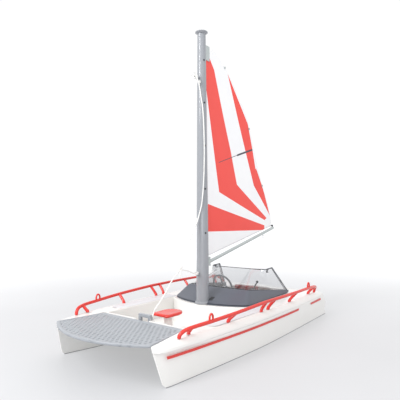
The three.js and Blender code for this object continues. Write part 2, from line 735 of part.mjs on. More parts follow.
// ---- cords: free routes at their real length ----
function addCords() {
  const lean = (degrees, z) => onMast(THREE.MathUtils.degToRad(degrees), z, cordRadius + 0.6);
  const stay = [
    vec(23.9, 0.4, 349.4), lean(8, 342), lean(24, 326), lean(38, 308), lean(46, 280), lean(48, 252),
    lean(42, 215), lean(24, 178), vec(23.4, 1.4, 158.4), vec(26.6, 0.8, 151), vec(32.8, 0.4, 141.2),
    vec(39.6, 0.2, 129.4), vec(48.4, 0, 118.6), vec(52.8, 0, 109.4), vec(56.4, 0, 99.4), vec(58.6, 0, 93.2),
    vec(63.8, 0.2, 89.8), vec(74.2, 0.8, 82.2), vec(80, 1.2, 77.6), vec(91.8, 2.4, 65.6),
    vec(101.4, 3.8, 58.2), vec(111, 5.8, 52.4), vec(116, 7.4, 48), vec(118.6, 8.2, 45.2),
  ];
  addPart('forestay_cord', sweep(stay, cordRadius, 8, 78), cottonCord);
  const branch = [vec(27.4, 0, 83.9), vec(33, 0, 85.2), vec(45, 0, 89.6), vec(56.6, 0, 92)];
  addPart('stay_branch_cord', sweep(branch, cordRadius, 8, 14), cottonCord);
}

addHulls();
addDeck();
addWells();
addMastStep();
addNet();
addForedeckSeat();
addCoaming();
addDashboard();
addWindshield();
addHelm();
addHelmSeat();
addMast();
addStayHook('upper_stay_hook', 351);
addStayHook('lower_stay_hook', 82);
addBoom();
addSail();
addRails();
addStripes();
addCords();

export default boat;
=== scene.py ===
import json
import math
import bmesh
import bpy
import numpy as np
from functools import reduce
from mathutils import Matrix


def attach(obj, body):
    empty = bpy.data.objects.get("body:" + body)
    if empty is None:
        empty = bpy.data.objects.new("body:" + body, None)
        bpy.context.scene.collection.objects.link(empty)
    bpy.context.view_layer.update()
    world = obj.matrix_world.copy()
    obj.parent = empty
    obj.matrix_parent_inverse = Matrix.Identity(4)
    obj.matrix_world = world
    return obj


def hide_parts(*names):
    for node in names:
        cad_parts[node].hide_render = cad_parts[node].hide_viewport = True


# toy sailing catamaran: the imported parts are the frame, and the pieces made here give it its finish
# +X is the bow, +Y is port, +Z is up the mast; every size below is in millimetres unless it says otherwise
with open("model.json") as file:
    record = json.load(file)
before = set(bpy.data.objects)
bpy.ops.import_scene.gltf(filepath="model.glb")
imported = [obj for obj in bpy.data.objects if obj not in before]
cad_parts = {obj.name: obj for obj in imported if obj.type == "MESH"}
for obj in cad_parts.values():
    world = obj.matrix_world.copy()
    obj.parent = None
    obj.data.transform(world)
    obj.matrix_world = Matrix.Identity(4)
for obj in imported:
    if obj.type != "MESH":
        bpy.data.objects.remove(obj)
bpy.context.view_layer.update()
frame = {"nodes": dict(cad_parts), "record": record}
mm = 0.001
scene = bpy.context.scene


# vectors scaled to length one
def unit(vectors):
    return vectors / np.maximum(np.linalg.norm(vectors, axis=-1, keepdims=True), 1e-12)


# a matrix from three axes and a place in metres
def placed(across, up, back, place):
    matrix = np.eye(4)
    matrix[:3] = np.column_stack([across, up, back, place])
    return Matrix(matrix.tolist())


# the camera stands off the port bow and looks aft, very slightly upwards
view = {
    "place": (465.95, 350.3, 159.8),
    "heading": 217.998,  # degrees from the bow, turning to port
    "rise": 2.327,
    "tilt": -0.263,
    "lens": 37.52,
    "sensor": 36.0,
    "nearest": 10,
}


# the camera looks along its heading and rise, and its tilt turns it about that line
def addCamera(design):
    heading, rise, tilt = (math.radians(design[key]) for key in ("heading", "rise", "tilt"))
    level = math.cos(rise)
    forward = np.array([level * math.cos(heading), level * math.sin(heading), math.sin(rise)])
    right = unit(np.cross(forward, (0, 0, 1)))
    up = np.cross(right, forward)
    across = math.cos(tilt) * right + math.sin(tilt) * up
    upright = math.cos(tilt) * up - math.sin(tilt) * right
    data = bpy.data.cameras.new("camera")
    data.lens = design["lens"]
    data.sensor_width = design["sensor"]
    data.clip_start = design["nearest"] * mm
    camera = bpy.data.objects.new("camera", data)
    camera.matrix_world = placed(across, upright, -forward, np.array(design["place"]) * mm)
    scene.collection.objects.link(camera)
    scene.camera = camera


addCamera(view)
print("camera set")


# centripetal Catmull-Rom curve through the points, cut into equal lengths:
# each span is a cubic blend of its four nearest points, with knots spaced by the root of their distance
def smoothPath(points, count):
    p = np.asarray(points, float)
    p = np.vstack([2 * p[0] - p[1], p, 2 * p[-1] - p[-2]])
    knot = np.concatenate([[0], np.cumsum(np.sqrt(np.linalg.norm(np.diff(p, axis=0), axis=1)))])
    spans = len(p) - 3
    perSpan = 40
    t = np.linspace(0, spans, spans * perSpan + 1)
    k = np.minimum(t.astype(int), spans - 1)
    k0, k1, k2, k3 = (knot[k + i][:, None] for i in range(4))
    u = k1 + (t - k)[:, None] * (k2 - k1)
    p0, p1, p2, p3 = (p[k + i] for i in range(4))
    a1 = (k1 - u) / (k1 - k0) * p0 + (u - k0) / (k1 - k0) * p1
    a2 = (k2 - u) / (k2 - k1) * p1 + (u - k1) / (k2 - k1) * p2
    a3 = (k3 - u) / (k3 - k2) * p2 + (u - k2) / (k3 - k2) * p3
    b1 = (k2 - u) / (k2 - k0) * a1 + (u - k0) / (k2 - k0) * a2
    b2 = (k3 - u) / (k3 - k1) * a2 + (u - k1) / (k3 - k1) * a3
    fine = (k2 - u) / (k2 - k1) * b1 + (u - k1) / (k2 - k1) * b2
    return evenly(fine, count)


# a line walked in equal steps
def evenly(line, count):
    run = np.concatenate([[0], np.cumsum(np.linalg.norm(np.diff(line, axis=0), axis=1))])
    steps = np.linspace(0, run[-1], count)
    return np.stack([np.interp(steps, run, line[:, i]) for i in range(line.shape[1])], axis=1)


# smooths an open line's bends by averaging each point with its neighbours, with both ends kept
def softLine(line, reach):
    padded = np.vstack([np.repeat(line[:1], reach, axis=0), line, np.repeat(line[-1:], reach, axis=0)])
    total = sum(padded[k:k + len(line)] for k in range(2 * reach + 1)) / (2 * reach + 1)
    total[0], total[-1] = line[0], line[-1]
    return total


# plan points with a height for each row or each point
def raised(plan, height):
    height = np.broadcast_to(np.asarray(height)[..., None], plan.shape[:-1] + (1,))
    return np.concatenate([plan, height], axis=-1)


# a sheet of quads over a grid of points; the second direction may close on itself
# each corner's UV is its distance along each direction, in metres
def quads(grid, around=False):
    grid = np.asarray(grid, float)
    rows, columns = grid.shape[:2]
    number = np.arange(rows * columns).reshape(rows, columns)
    wide = grid
    if around:
        wide = np.concatenate([grid, grid[:, :1]], axis=1)
        number = np.concatenate([number, number[:, :1]], axis=1)
    down = np.linalg.norm(np.diff(wide, axis=0), axis=2).mean(axis=1)
    along = np.linalg.norm(np.diff(wide, axis=1), axis=2).max(axis=0)
    u, v = (np.concatenate([[0], np.cumsum(steps)]) * mm for steps in (down, along))
    uv = np.stack(np.meshgrid(u, v, indexing="ij"), axis=-1)
    faces, corners = (np.stack([table[:-1, :-1], table[1:, :-1], table[1:, 1:], table[:-1, 1:]], axis=2)
                      for table in (number, uv))
    return grid.reshape(-1, 3), faces.reshape(-1, 4), corners.reshape(-1, 2)


# a round bar: a circle carried along the line; a domed end is a quarter of an ellipse, 0.6 radius long
def tube(line, radius, side=(0, 1, 0), sides=16, domed=True):
    line = np.asarray(line, float)
    radii = np.full(len(line), float(radius)) if np.isscalar(radius) else np.asarray(radius, float)
    if domed:
        quarter = np.linspace(0, math.pi / 2, 5)[1:]
        back = unit(line[:1] - line[1:2])
        front = unit(line[-1:] - line[-2:-1])
        nose = line[:1] + back * radii[0] * 0.6 * np.sin(quarter)[::-1, None]
        tail = line[-1:] + front * radii[-1] * 0.6 * np.sin(quarter)[:, None]
        line = np.vstack([nose, line, tail])
        radii = np.concatenate([radii[0] * np.cos(quarter)[::-1], radii, radii[-1] * np.cos(quarter)])
    along = unit(np.gradient(line, axis=0))
    across = unit(np.cross(along, np.broadcast_to(np.asarray(side, float), along.shape)))
    third = np.cross(along, across)
    turn = np.linspace(0, 2 * math.pi, sides, endpoint=False)
    ring = np.cos(turn)[None, :, None] * across[:, None] + np.sin(turn)[None, :, None] * third[:, None]
    return quads(line[:, None] + radii[:, None, None] * ring, around=True)


# a turned shape: a profile of (radius, height) swung about an axis through the centre
def turned(profile, centre, axis=(0, 0, 1), sides=48):
    radii, heights = np.asarray(profile, float).T[:, :, None, None]
    axis = unit(np.asarray(axis, float))
    first = unit(np.cross(axis, (1, 0, 0) if abs(axis[0]) < 0.9 else (0, 1, 0)))
    second = np.cross(axis, first)
    turn = np.linspace(0, 2 * math.pi, sides, endpoint=False)
    spoke = np.cos(turn)[:, None] * first + np.sin(turn)[:, None] * second
    return quads(radii * spoke + heights * axis + np.asarray(centre, float), around=True)


# a ring: a small circle carried round a large one that lies square to the axis
def hoop(centre, axis, radius, thickness, sides=14, steps=56):
    turn = np.linspace(0, 2 * math.pi, sides + 1)
    profile = np.stack([radius + thickness * np.cos(turn), thickness * np.sin(turn)], axis=1)
    return turned(profile, centre, axis, steps)


# puts grids together as one mesh, closes poles and seams, and turns the faces outwards
def makePiece(name, parts, body, material, standsFor=(), smooth=35, closed=True):
    corners, faces, uvs, count = [], [], [], 0
    for points, quad, uv in parts:
        corners.append(points)
        faces.append(quad + count)
        uvs.append(uv)
        count += len(points)
    mesh = bpy.data.meshes.new(name)
    mesh.from_pydata(np.concatenate(corners) * mm, [], np.concatenate(faces))
    layer = mesh.uv_layers.new(name="lie")
    layer.data.foreach_set("uv", np.concatenate(uvs).ravel())
    edit = bmesh.new()
    edit.from_mesh(mesh)
    bmesh.ops.remove_doubles(edit, verts=edit.verts, dist=2e-6)
    bmesh.ops.dissolve_degenerate(edit, edges=edit.edges, dist=1e-7)
    if closed:
        bmesh.ops.recalc_face_normals(edit, faces=edit.faces)
    edit.to_mesh(mesh)
    edit.free()
    mesh.shade_smooth()
    mesh.set_sharp_from_angle(angle=math.radians(smooth))
    return placePiece(bpy.data.objects.new(name, mesh), body, material, standsFor)


# a finished piece is linked, given its finish and tied to its body, and the imported parts that it stands for
# are hidden
def placePiece(piece, body, material, standsFor):
    scene.collection.objects.link(piece)
    piece.data.materials.clear()
    piece.data.materials.append(material)
    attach(piece, body)
    if standsFor:
        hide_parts(*standsFor)
    return piece


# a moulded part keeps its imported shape, and its sharp edges get the small radius that a mould gives
mouldedEdge = {"segments": 3, "sharper": 28, "smooth": 30}  # bevel steps; angles in degrees


def moulded(node, material, radius):
    mesh = frame["nodes"][node].data.copy()
    mesh.name = node + "_skin"
    edit = bmesh.new()
    edit.from_mesh(mesh)
    bmesh.ops.remove_doubles(edit, verts=edit.verts, dist=3e-6)
    bmesh.ops.dissolve_limit(edit, angle_limit=math.radians(0.5), verts=edit.verts, edges=edit.edges)
    edit.to_mesh(mesh)
    edit.free()
    mesh.shade_smooth()
    mesh.set_sharp_from_angle(angle=math.radians(mouldedEdge["smooth"]))
    piece = bpy.data.objects.new(node + "_skin", mesh)
    record = frame["record"]
    body = next(name for name, members in record["behaviour"]["bodies"].items() if node in members)
    placePiece(piece, body, material, [node])
    if radius:
        bevel = piece.modifiers.new("edge", "BEVEL")
        bevel.width = radius * mm
        bevel.segments = mouldedEdge["segments"]
        bevel.limit_method = "ANGLE"
        bevel.angle_limit = math.radians(mouldedEdge["sharper"])
        bevel.use_clamp_overlap = True
        bevel.harden_normals = True


# an sRGB hex colour as linear RGBA
def linear(hexColour, alpha=1.0):
    values = [int(hexColour[i:i + 2], 16) / 255 for i in (1, 3, 5)]
    return [v / 12.92 if v <= 0.04045 else ((v + 0.055) / 1.055) ** 2.4 for v in values] + [alpha]


# adds a node: settings go to its properties or its inputs, links join other nodes' outputs to its inputs
def addNode(material, kind, settings=None, links=None):
    node = material.node_tree.nodes.new("ShaderNode" + kind)
    for key, value in (settings or {}).items():
        if isinstance(key, int) or key in node.inputs:
            node.inputs[key].default_value = value
        else:
            setattr(node, key, value)
    for key, (other, output) in (links or {}).items():
        material.node_tree.links.new(other.outputs[output], node.inputs[key])
    return node


# a material with one shader joined to its output
def newMaterial(name, settings):
    material = bpy.data.materials.new(name)
    material.use_nodes = True
    material.node_tree.nodes.clear()
    shader = addNode(material, "BsdfPrincipled", settings)
    addNode(material, "OutputMaterial", links={"Surface": (shader, "BSDF")})
    return material, shader


# joins an output, given as (node, name), to a socket of the target
def joinUp(material, output, target, socket):
    material.node_tree.links.new(output[0].outputs[output[1]], target.inputs[socket])


# adds a node from one list of inputs, each a number, a hex colour or another node's output
def fedNode(material, kind, settings, inputs):
    links = {key: value for key, value in inputs.items() if isinstance(value, tuple)}
    values = {key: linear(value) if isinstance(value, str) else float(value)
              for key, value in inputs.items() if key not in links}
    return addNode(material, kind, {**settings, **values}, links)


def mathNode(material, operation, *inputs):
    return fedNode(material, "Math", {"operation": operation}, dict(enumerate(inputs))), "Value"


# one operation carried through a list of outputs, such as the least of them all
def foldNodes(material, operation, outputs):
    return reduce(lambda first, second: mathNode(material, operation, first, second), outputs)


def mixNode(material, share, first, second):
    return fedNode(material, "Mix", {"data_type": "RGBA"}, {0: share, 6: first, 7: second}), 2


# soft noise through the object, its cloud size in millimetres
def clouds(material, size, detail=2):
    place = addNode(material, "TexCoord")
    settings = {"Scale": 1 / (size * mm), "Detail": detail}
    return addNode(material, "TexNoise", settings, {"Vector": (place, "Object")}), "Fac"


# relief that follows a pattern, its depth in millimetres
def addRelief(material, shader, height, strength, depth=0.1):
    bump = addNode(material, "Bump", {"Strength": strength, "Distance": depth * mm}, {"Height": height})
    joinUp(material, (bump, "Normal"), shader, "Normal")


# moulded plastic: a soft cloudiness from the melt flow, a polish that varies a little, and where the mould
# was spark-eroded or studded a relief of fine grain
moulding = {"flow": 60, "polish": 18, "glossier": 0.04, "duller": 0.05, "ior": 1.53}  # clouds in millimetres


def mouldedPlastic(name, design):
    polish = design["roughness"]
    material, shader = newMaterial(name, {"Roughness": polish, "IOR": moulding["ior"]})
    tone = mixNode(material, clouds(material, moulding["flow"]), design["light"], design["deep"])
    joinUp(material, tone, shader, "Base Color")
    limits = {"To Min": polish - moulding["glossier"], "To Max": polish + moulding["duller"]}
    level = addNode(material, "MapRange", limits, {"Value": clouds(material, moulding["polish"])})
    joinUp(material, (level, "Result"), shader, "Roughness")
    if design["relief"]:
        addRelief(material, shader, clouds(material, design["grain"]), design["relief"])
    return material


plastics = {
    # glossy white ABS: clean, faintly warm, with wide soft reflections
    "glossy white abs": {"light": "#ecebe9", "deep": "#e6e5e2", "roughness": 0.2, "relief": 0},
    # glossy red ABS: a saturated signal red that goes darker where it turns away
    "glossy red abs": {"light": "#d9372e", "deep": "#ce3028", "roughness": 0.18, "relief": 0},
    # satin red ABS: the helm seat, duller than the rails
    "satin red abs": {"light": "#93302c", "deep": "#872a27", "roughness": 0.5, "relief": 0},
    # satin grey ABS: the mast, even and slightly blue, with a broad soft highlight
    "satin mast grey abs": {"light": "#95989d", "deep": "#8e9197", "roughness": 0.14, "relief": 0},
    # satin polypropylene: the net, a bit waxy, cooler than the mast
    "waxy grey polypropylene": {"light": "#a0a4aa", "deep": "#989ca2", "roughness": 0.4, "relief": 0},
    # spark-eroded dark grey ABS: a fine matt grain that scatters the light
    "grained charcoal abs": {"light": "#5a5e68", "deep": "#535761", "roughness": 0.4, "grain": 0.5,
                             "relief": 0.15},
    # pale grey ABS: boom, gooseneck and head tab
    "pale grey abs": {"light": "#b6bdbd", "deep": "#aeb5b5", "roughness": 0.35, "relief": 0},
    # black nylon: small clips with a dull, slightly greasy surface
    "black nylon": {"light": "#2e2f33", "deep": "#26272b", "roughness": 0.48, "relief": 0},
    # pad-printed red ink on the hull: thin, flat and a little duller than the moulded red
    "printed red ink": {"light": "#d63c36", "deep": "#cc3530", "roughness": 0.38, "relief": 0},
    # pale grey strips on the side decks, matt and slightly rough with a fine grain relief; their grey is
    # painted shade along the side decks
    "pale grey side deck band with painted shade": {"light": "#d7d7da", "deep": "#cfcfd3", "roughness": 0.5, "grain": 1.6,
                              "relief": 0.3},
}
white, red, dullRed, mastGrey, netGrey, charcoal, paleGrey, blackNylon, redInk, sideShadeGrey = (
    mouldedPlastic(name, design) for name, design in plastics.items())


# braided cotton cord: two families of strands cross round it; the colour is darker where the strands dip, a
# small herringbone of painted shade, with a bump of the same pattern
def braidedCotton(design):
    settings = {"Roughness": 0.85, "Sheen Weight": 0.3, "Sheen Roughness": 0.5}
    material, shader = newMaterial("braided cotton", settings)
    lie = addNode(material, "UVMap", {"uv_map": "lie"})
    parts = addNode(material, "SeparateXYZ", links={"Vector": (lie, "UV")})
    strands = []
    around = design["strands"] / (design["radius"] * mm)
    for turn in (1, -1):
        along = mathNode(material, "MULTIPLY", (parts, "X"), 2 * math.pi / (design["pitch"] * mm))
        across = mathNode(material, "MULTIPLY", (parts, "Y"), turn * around)
        strands.append(mathNode(material, "SINE", mathNode(material, "ADD", along, across)))
    crossing = mathNode(material, "MAXIMUM", *strands)
    shade = addNode(material, "MapRange", {"From Min": -0.6, "From Max": 1.0}, {"Value": crossing})
    # darker colour in the dips between strands is painted shade
    tone = mixNode(material, (shade, "Result"), design["deep"], design["light"])
    joinUp(material, tone, shader, "Base Color")
    addRelief(material, shader, crossing, 0.6, 0.15)
    return material


cordDesign = {"radius": 0.8, "wrap": 1.5, "pitch": 2.4, "strands": 4, "light": "#f2f2f0", "deep": "#dddcd9"}
cottonCord = braidedCotton(cordDesign)
print("materials ready")


# the stay is tied at the upper hook, lies against the mast, swings forward and is tied to the bracket
stayRoute = [
    (23.9, 0.4, 349.4), (20.13, 1.08, 342), (19.14, 3.59, 326), (17.79, 5.62, 308), (17.01, 6.82, 280),
    (16.87, 7.25, 252), (17.94, 7.15, 215), (20.3, 5.12, 178), (23.4, 1.4, 158.4), (26.6, 0.8, 151),
    (32.8, 0.4, 141.2), (39.6, 0.2, 129.4), (48.4, 0, 118.6), (52.8, 0, 109.4), (56.4, 0, 99.4),
    (58.6, 0, 93.2), (63.8, 0.2, 89.8), (74.2, 0.8, 82.2), (80, 1.2, 77.6), (91.8, 2.4, 65.6),
    (101.4, 3.8, 58.2), (111, 5.8, 52.4), (116, 7.4, 48), (118.6, 8.2, 45.2),
]
branchRoute = [(27.4, 0, 83.9), (33, 0, 85.2), (45, 0, 89.6), (56.6, 0, 92)]


# a knot: one turn of cord lying on the last, wound as a helix round the line it is tied on
def knot(centre, axis, radius, turns):
    t = np.linspace(0, 1, 90)[:, None]
    axis = unit(np.asarray(axis, float))
    first = unit(np.cross(axis, (0, 1, 0) if abs(axis[1]) < 0.9 else (1, 0, 0)))
    second = np.cross(axis, first)
    angle = 2 * math.pi * turns * t
    around = radius * (np.cos(angle) * first + np.sin(angle) * second)
    line = np.asarray(centre, float) + around + (t - 0.5) * turns * cordDesign["wrap"] * axis
    return tube(line, cordDesign["radius"] * 0.95, side=tuple(axis), sides=10)


# a cord is a round bar along its route, and its knots and loose ends are one piece that goes with it
def addCord(name, route, node, count, knots):
    line = smoothPath(route, count)
    radius = cordDesign["radius"]
    piece = makePiece(name, [tube(line, radius, sides=14)], "platform", cottonCord, [node])
    tied = makePiece(name + "_knots", knots, "platform", cottonCord)


# loose ends: two at the upper hook, one laid back up beside the stay, one below the junction
upperTails = [
    smoothPath([(26.4, 1.6, 352.6), (29.6, 1.2, 356.4), (33.4, 0.4, 355.4), (35.6, 0.2, 350.6)], 24),
    smoothPath([(25.6, 1.8, 353.4), (28.4, 3.4, 350.4), (26.6, 4.4, 345.2), (23.6, 4.8, 339.4)], 24),
]
laidBack = smoothPath([(58.6, -1, 93.6), (58.4, -2.4, 101), (54.6, -3, 112), (46.2, -2.6, 127),
                       (36.4, -1.4, 141), (28.2, -0.8, 152.6), (25.2, 0, 157.4)], 60)
lowerTail = smoothPath([(58.6, 1.4, 92.6), (61.6, 2.2, 88), (62.4, 2.6, 83.6)], 16)
tailRadius = cordDesign["radius"] * 1.05
addCord("forestay", stayRoute, "forestay_cord", 220, [
    knot((25.9, 0, 351.6), (1, 0, 0.1), 2.4, 3), knot((22.2, 3.0, 344.4), (0.3, 0.2, 1), 1.6, 2.4),
    *[tube(tail, tailRadius, sides=10) for tail in (*upperTails, laidBack, lowerTail)],
    knot((119.6, 8.0, 43.2), (0, 1, 0), 2.6, 2.2), knot((58.2, -0.4, 95), (0.4, 0, -0.9), 1.9, 3),
])
addCord("stay_branch", branchRoute, "stay_branch_cord", 40,
        [knot((26, 0, 84.2), (0, 0, 1), 2.1, 2.4)])
print("cords tied")


# plan curves of the port hull from bow to stern, at the seam under the deck and at the keel
hull = {
    "outerSeam": [(186.4, 77.2), (180, 83), (158, 86.4), (98, 91.4), (25, 95), (-60, 95.3), (-130, 92.6),
                  (-192, 88.6)],
    "outerKeel": [(173.8, 81.1), (168, 82.6), (143, 85), (97, 88), (17, 91), (-60, 90.2), (-130, 88),
                  (-209.5, 85)],
    "innerSeam": [(186.4, 75.6), (160, 71.2), (127, 67), (98, 65.4), (25, 64.5), (-60, 64.2), (-130, 64.4),
                  (-192, 65)],
    "innerKeel": [(173.8, 80.1), (160, 78.4), (113, 71.7), (60, 68), (0, 66.4), (-60, 66), (-130, 66.2),
                  (-209.5, 67)],
    "levels": [0, 1.8, 8, 20, 28, 34],
    "blend": [0, 0.05, 0.23, 0.59, 0.82, 1],
    "bow": [2.5, 2.5, 2.2, 1.2, 0.6, 0],
    "stern": [0, -1.4, 0.8, -7.4, -3.6, 0],
    "stemFoot": 5,  # radius where the stem meets the keel
    "strip": 0.5,  # height of the dark line at the hull's foot
    "chine": 1.3,  # radius along the bottom edge
    "lip": 0.5,  # radius under the deck seam
    "transom": 3.2, "square": 2.6,  # radius at the stern corners, and their superellipse power
}


# uniform Catmull-Rom through plan points, read at fractions of the number of spans
def planCurve(points, u):
    p = np.asarray(points, float)
    spans = len(p) - 1
    t = u * spans
    k = np.minimum(t.astype(int), spans - 1)
    f = (t - k)[:, None]
    p0, p1, p2, p3 = (p[np.clip(k + i, 0, spans)] for i in (-1, 0, 1, 2))
    v0, v1 = (p2 - p0) / 2, (p3 - p1) / 2
    return (2 * p1 - 2 * p2 + v0 + v1) * f ** 3 + (-3 * p1 + 3 * p2 - 2 * v0 - v1) * f ** 2 + v0 * f + p1


# closed rings of points: out along one side of a middle line and back along the other, half a width away
def bothSides(middle, width, height):
    left, right = (raised(np.stack([middle[..., 0], middle[..., 1] + sign * width], axis=-1), height)
                   for sign in (1, -1))
    return np.concatenate([left, right[:, ::-1]], axis=1)


# hull skin: at each height the two sides are a mix of keel and seam curves; both sides draw together at the
# transom along a quarter of a superellipse, and at the keel and lip along quarter circles
def hullSkin(design, port):
    height = design["levels"][-1]
    ease = np.linspace(0, math.pi / 2, 6)
    low = design["chine"] * (1 - np.cos(ease))
    high = height - design["lip"] * (1 - np.cos(ease[::-1]))
    z = np.concatenate([[0], low, np.linspace(low[-1], high[0], 20)[1:-1], high, [height]])
    inset = np.concatenate([[1e3], design["chine"] * (1 - np.sin(ease)), np.zeros(18),
                            design["lip"] * (1 - np.sin(ease[::-1])), [1e3]])
    mix, bow, stern = (np.interp(z, design["levels"], design[key]) for key in ("blend", "bow", "stern"))
    below = np.clip(1 - z / design["stemFoot"], 0, 1)
    foot = design["stemFoot"] * (1 - np.sqrt(1 - below ** 2))
    u = np.concatenate([np.linspace(0, 0.02, 6)[:-1], np.linspace(0.02, 0.97, 90)[:-1],
                        1 - 0.03 * np.linspace(1, 0, 18) ** 2])
    sides = []
    for name in ("outer", "inner"):
        keel = planCurve(design[name + "Keel"], u)
        seam = planCurve(design[name + "Seam"], u)
        plan = keel[None] + mix[:, None, None] * (seam - keel)[None]
        shift = (bow - foot)[:, None] * (1 - u[None]) ** 6 + stern[:, None] * u[None] ** 6
        sides.append(np.stack([plan[..., 0] + shift, plan[..., 1]], axis=-1))
    outer, inner = sides
    middle = (outer + inner) / 2
    fromStern = np.clip((middle[..., 0] - middle[:, -1:, 0]) / design["transom"], 0, 1)
    square = (1 - (1 - fromStern) ** design["square"]) ** (1 / design["square"])
    width = np.maximum((outer - inner)[..., 1] / 2 * square - inset[:, None], 0)
    return quads(bothSides(middle, width, z[:, None]) * (1, 1 if port else -1, 1), around=True)


# contact shadow band: a low dark band under the hull's rounded edge, upright along the skin's line at its own
# height; it is painted shadow where the hull meets the table
def contactShadowBand(design, port):
    height = design["strip"]
    points = hullSkin(design, port)[0]
    levels = np.unique(points[:, 2])
    skin = points.reshape(-1, len(points) // (len(levels) + 2), 3)
    edge = skin[np.argmin(np.abs(skin[:, 0, 2] - height))]
    rows = [np.column_stack([plan[:, :2], np.full(len(plan), z)])
            for plan, z in ((skin[0], 0.02), (edge, 0.02), (edge, height), (skin[0], height))]
    return quads(np.array(rows), around=True)


def addHulls(design):
    for side in ("port", "starboard"):
        port = side == "port"
        # the charcoal band at the hull's foot is painted contact shadow
        makePiece(side + "_contact_shadow_band", [contactShadowBand(design, port)], "platform", charcoal)
        makePiece(side + "_hull_skin", [hullSkin(design, port)], "platform", white,
                  [side + "_hull"], smooth=40)


addHulls(hull)
print("hulls made")


# deck, wells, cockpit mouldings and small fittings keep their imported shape: plastic and edge radius
mouldedParts = {
    "deck": (white, 0.7), "foredeck_well": (white, 0.5), "cockpit_tub": (white, 0.6),
    "mast_step": (white, 0.3),
    "dashboard": (charcoal, 0.7), "helm_seat": (dullRed, 1.6),
    "stay_bracket": (netGrey, 0.7), "seat_pedestal": (white, 0.4), "gooseneck": (paleGrey, 0.3),
    "head_tab": (paleGrey, 0.4), "clew_clip": (blackNylon, 0.5), "upper_stay_hook": (mastGrey, 0),
    "lower_stay_hook": (mastGrey, 0), "throttle_lever": (blackNylon, 0), "throttle_pivot": (blackNylon, 0.2),
    "steering_column": (blackNylon, 0.3),
}
for node, (material, radius) in mouldedParts.items():
    moulded(node, material, radius)
for node in frame["nodes"]:
    if node.startswith("sail_clip"):
        moulded(node, blackNylon, 0.2)
    elif node.startswith("batten_clip"):
        moulded(node, paleGrey, 0.4)
    elif "stripe" in node:
        moulded(node, redInk, 0)
print("mouldings finished")


coaming = {
    "lowFront": (20.5, 21.5, 63.4), "highFront": (-17.5, 2, 52.5),  # foremost x, sweep, half width
    "low": 42.7, "high": 60.1, "aft": -126, "lowAftHalf": 60, "highAftHalf": 59.4, "highAft": 47.5,
    "innerFront": -24.5, "innerHalf": 49.5, "innerAftHalf": 56, "groove": (1.7, 2.2), "round": 1.2,
    "slot": (8, 13.6, 0.27, 0.47), "slotFacing": (0.43, 0, 0.9), "slotStands": 0.15,
}


# a line from the port aft corner to the front corner, round the front as a parabola and back to starboard
def coamingLine(aft, corner, front, sweep, height):
    side = np.linspace((*aft, 0.0), (*corner, 0.0), 50)[:-1]
    side[:, 2] = np.linspace(height[1], height[0], 50)[:-1]
    y = np.linspace(corner[1], -corner[1], 81)
    nose = np.stack([front - sweep * (y / corner[1]) ** 2, y, np.full(81, float(height[0]))], axis=1)
    return softLine(np.vstack([side, nose, side[::-1] * (1, -1, 1)]), 3)


# the coaming's section runs from a shadow groove at its foot up the sloping face, over a quarter round into
# the flat top, and down inside; each station's section is a mix of the low, high and inner lines
def coamingSkin(design):
    aft = design["aft"]
    lowX, lowSweep, lowHalf = design["lowFront"]
    highX, highSweep, highHalf = design["highFront"]
    low = coamingLine((aft, design["lowAftHalf"]), (lowX - lowSweep, lowHalf), lowX, lowSweep,
                      (design["low"], design["low"]))
    high = coamingLine((aft, design["highAftHalf"]), (highX - highSweep, highHalf), highX, highSweep,
                       (design["high"], design["highAft"]))
    inner = coamingLine((aft, design["innerAftHalf"]), (design["innerFront"], design["innerHalf"]),
                        design["innerFront"] + 1.5, 1.5, (design["high"], design["highAft"]))
    foot = inner * (1, 1, 0) + (0, 0, design["low"])
    up = unit(high - low)
    across = unit(inner - high)
    tall, deep = design["groove"]
    grooveTop = low + up * tall / np.maximum(up[:, 2:], 0.2)
    inward = across * deep
    turn = np.linspace(0, math.pi / 2, 7)[:, None, None]
    edge = high + design["round"] * (across * (1 - np.cos(turn)) - up * (1 - np.sin(turn)))
    face = grooveTop + np.linspace(0, 1, 24)[:, None, None] * (edge[0] - grooveTop)
    rows = [low + inward, grooveTop + inward, *face, *edge[1:], inner, foot, low + inward]
    return low, edge[0], quads(np.array(rows))


# the skin is closed with a fan at each aft end; the shade inside the slot in the front face beside the mast
# is painted shade, a thin black plate that follows the face
def addCoaming(design):
    low, edge, skin = coamingSkin(design)
    ends = [skin[0].reshape(-1, len(low), 3)[:-1, k] for k in (0, -1)]
    caps = [quads(np.stack([np.vstack([end, end[:1]]), np.broadcast_to(end.mean(axis=0), (len(end) + 1, 3))]))
            for end in ends]
    makePiece("coaming_shell", [skin] + caps, "platform", charcoal, ["coaming"], smooth=38)
    y0, y1, v0, v1 = design["slot"]
    y = np.linspace(y0, y1, 8)
    front = np.flatnonzero(low[:, 0] > 0)
    front = front[np.argsort(low[front, 1])]
    foot, brow = (np.column_stack([np.interp(y, line[front, 1], line[front, 0]), y,
                                   np.interp(y, line[front, 1], line[front, 2])]) for line in (low, edge))
    face = foot + np.linspace(v0, v1, 6)[:, None, None] * (brow - foot)
    out = np.array(design["slotFacing"]) * design["slotStands"]
    ring = np.concatenate([face + out, (face - out)[::-1]])
    sides = [quads(np.stack([(face + out)[:, k], (face - out)[:, k]], axis=1)) for k in (0, -1)]
    plate = quads(np.concatenate([ring, ring[:1]]))
    # this black plate stands for the shade in the slot beside the mast: painted shade
    makePiece("coaming_slot_shade_plate", [plate] + sides, "platform", blackNylon)


addCoaming(coaming)
print("coaming made")


# foredeck seat
seat = {"front": 98, "back": 62.5, "half": 13.5, "top": 43.4, "under": 39.8, "corner": 4, "roll": 1.6,
        "dish": 0.6}


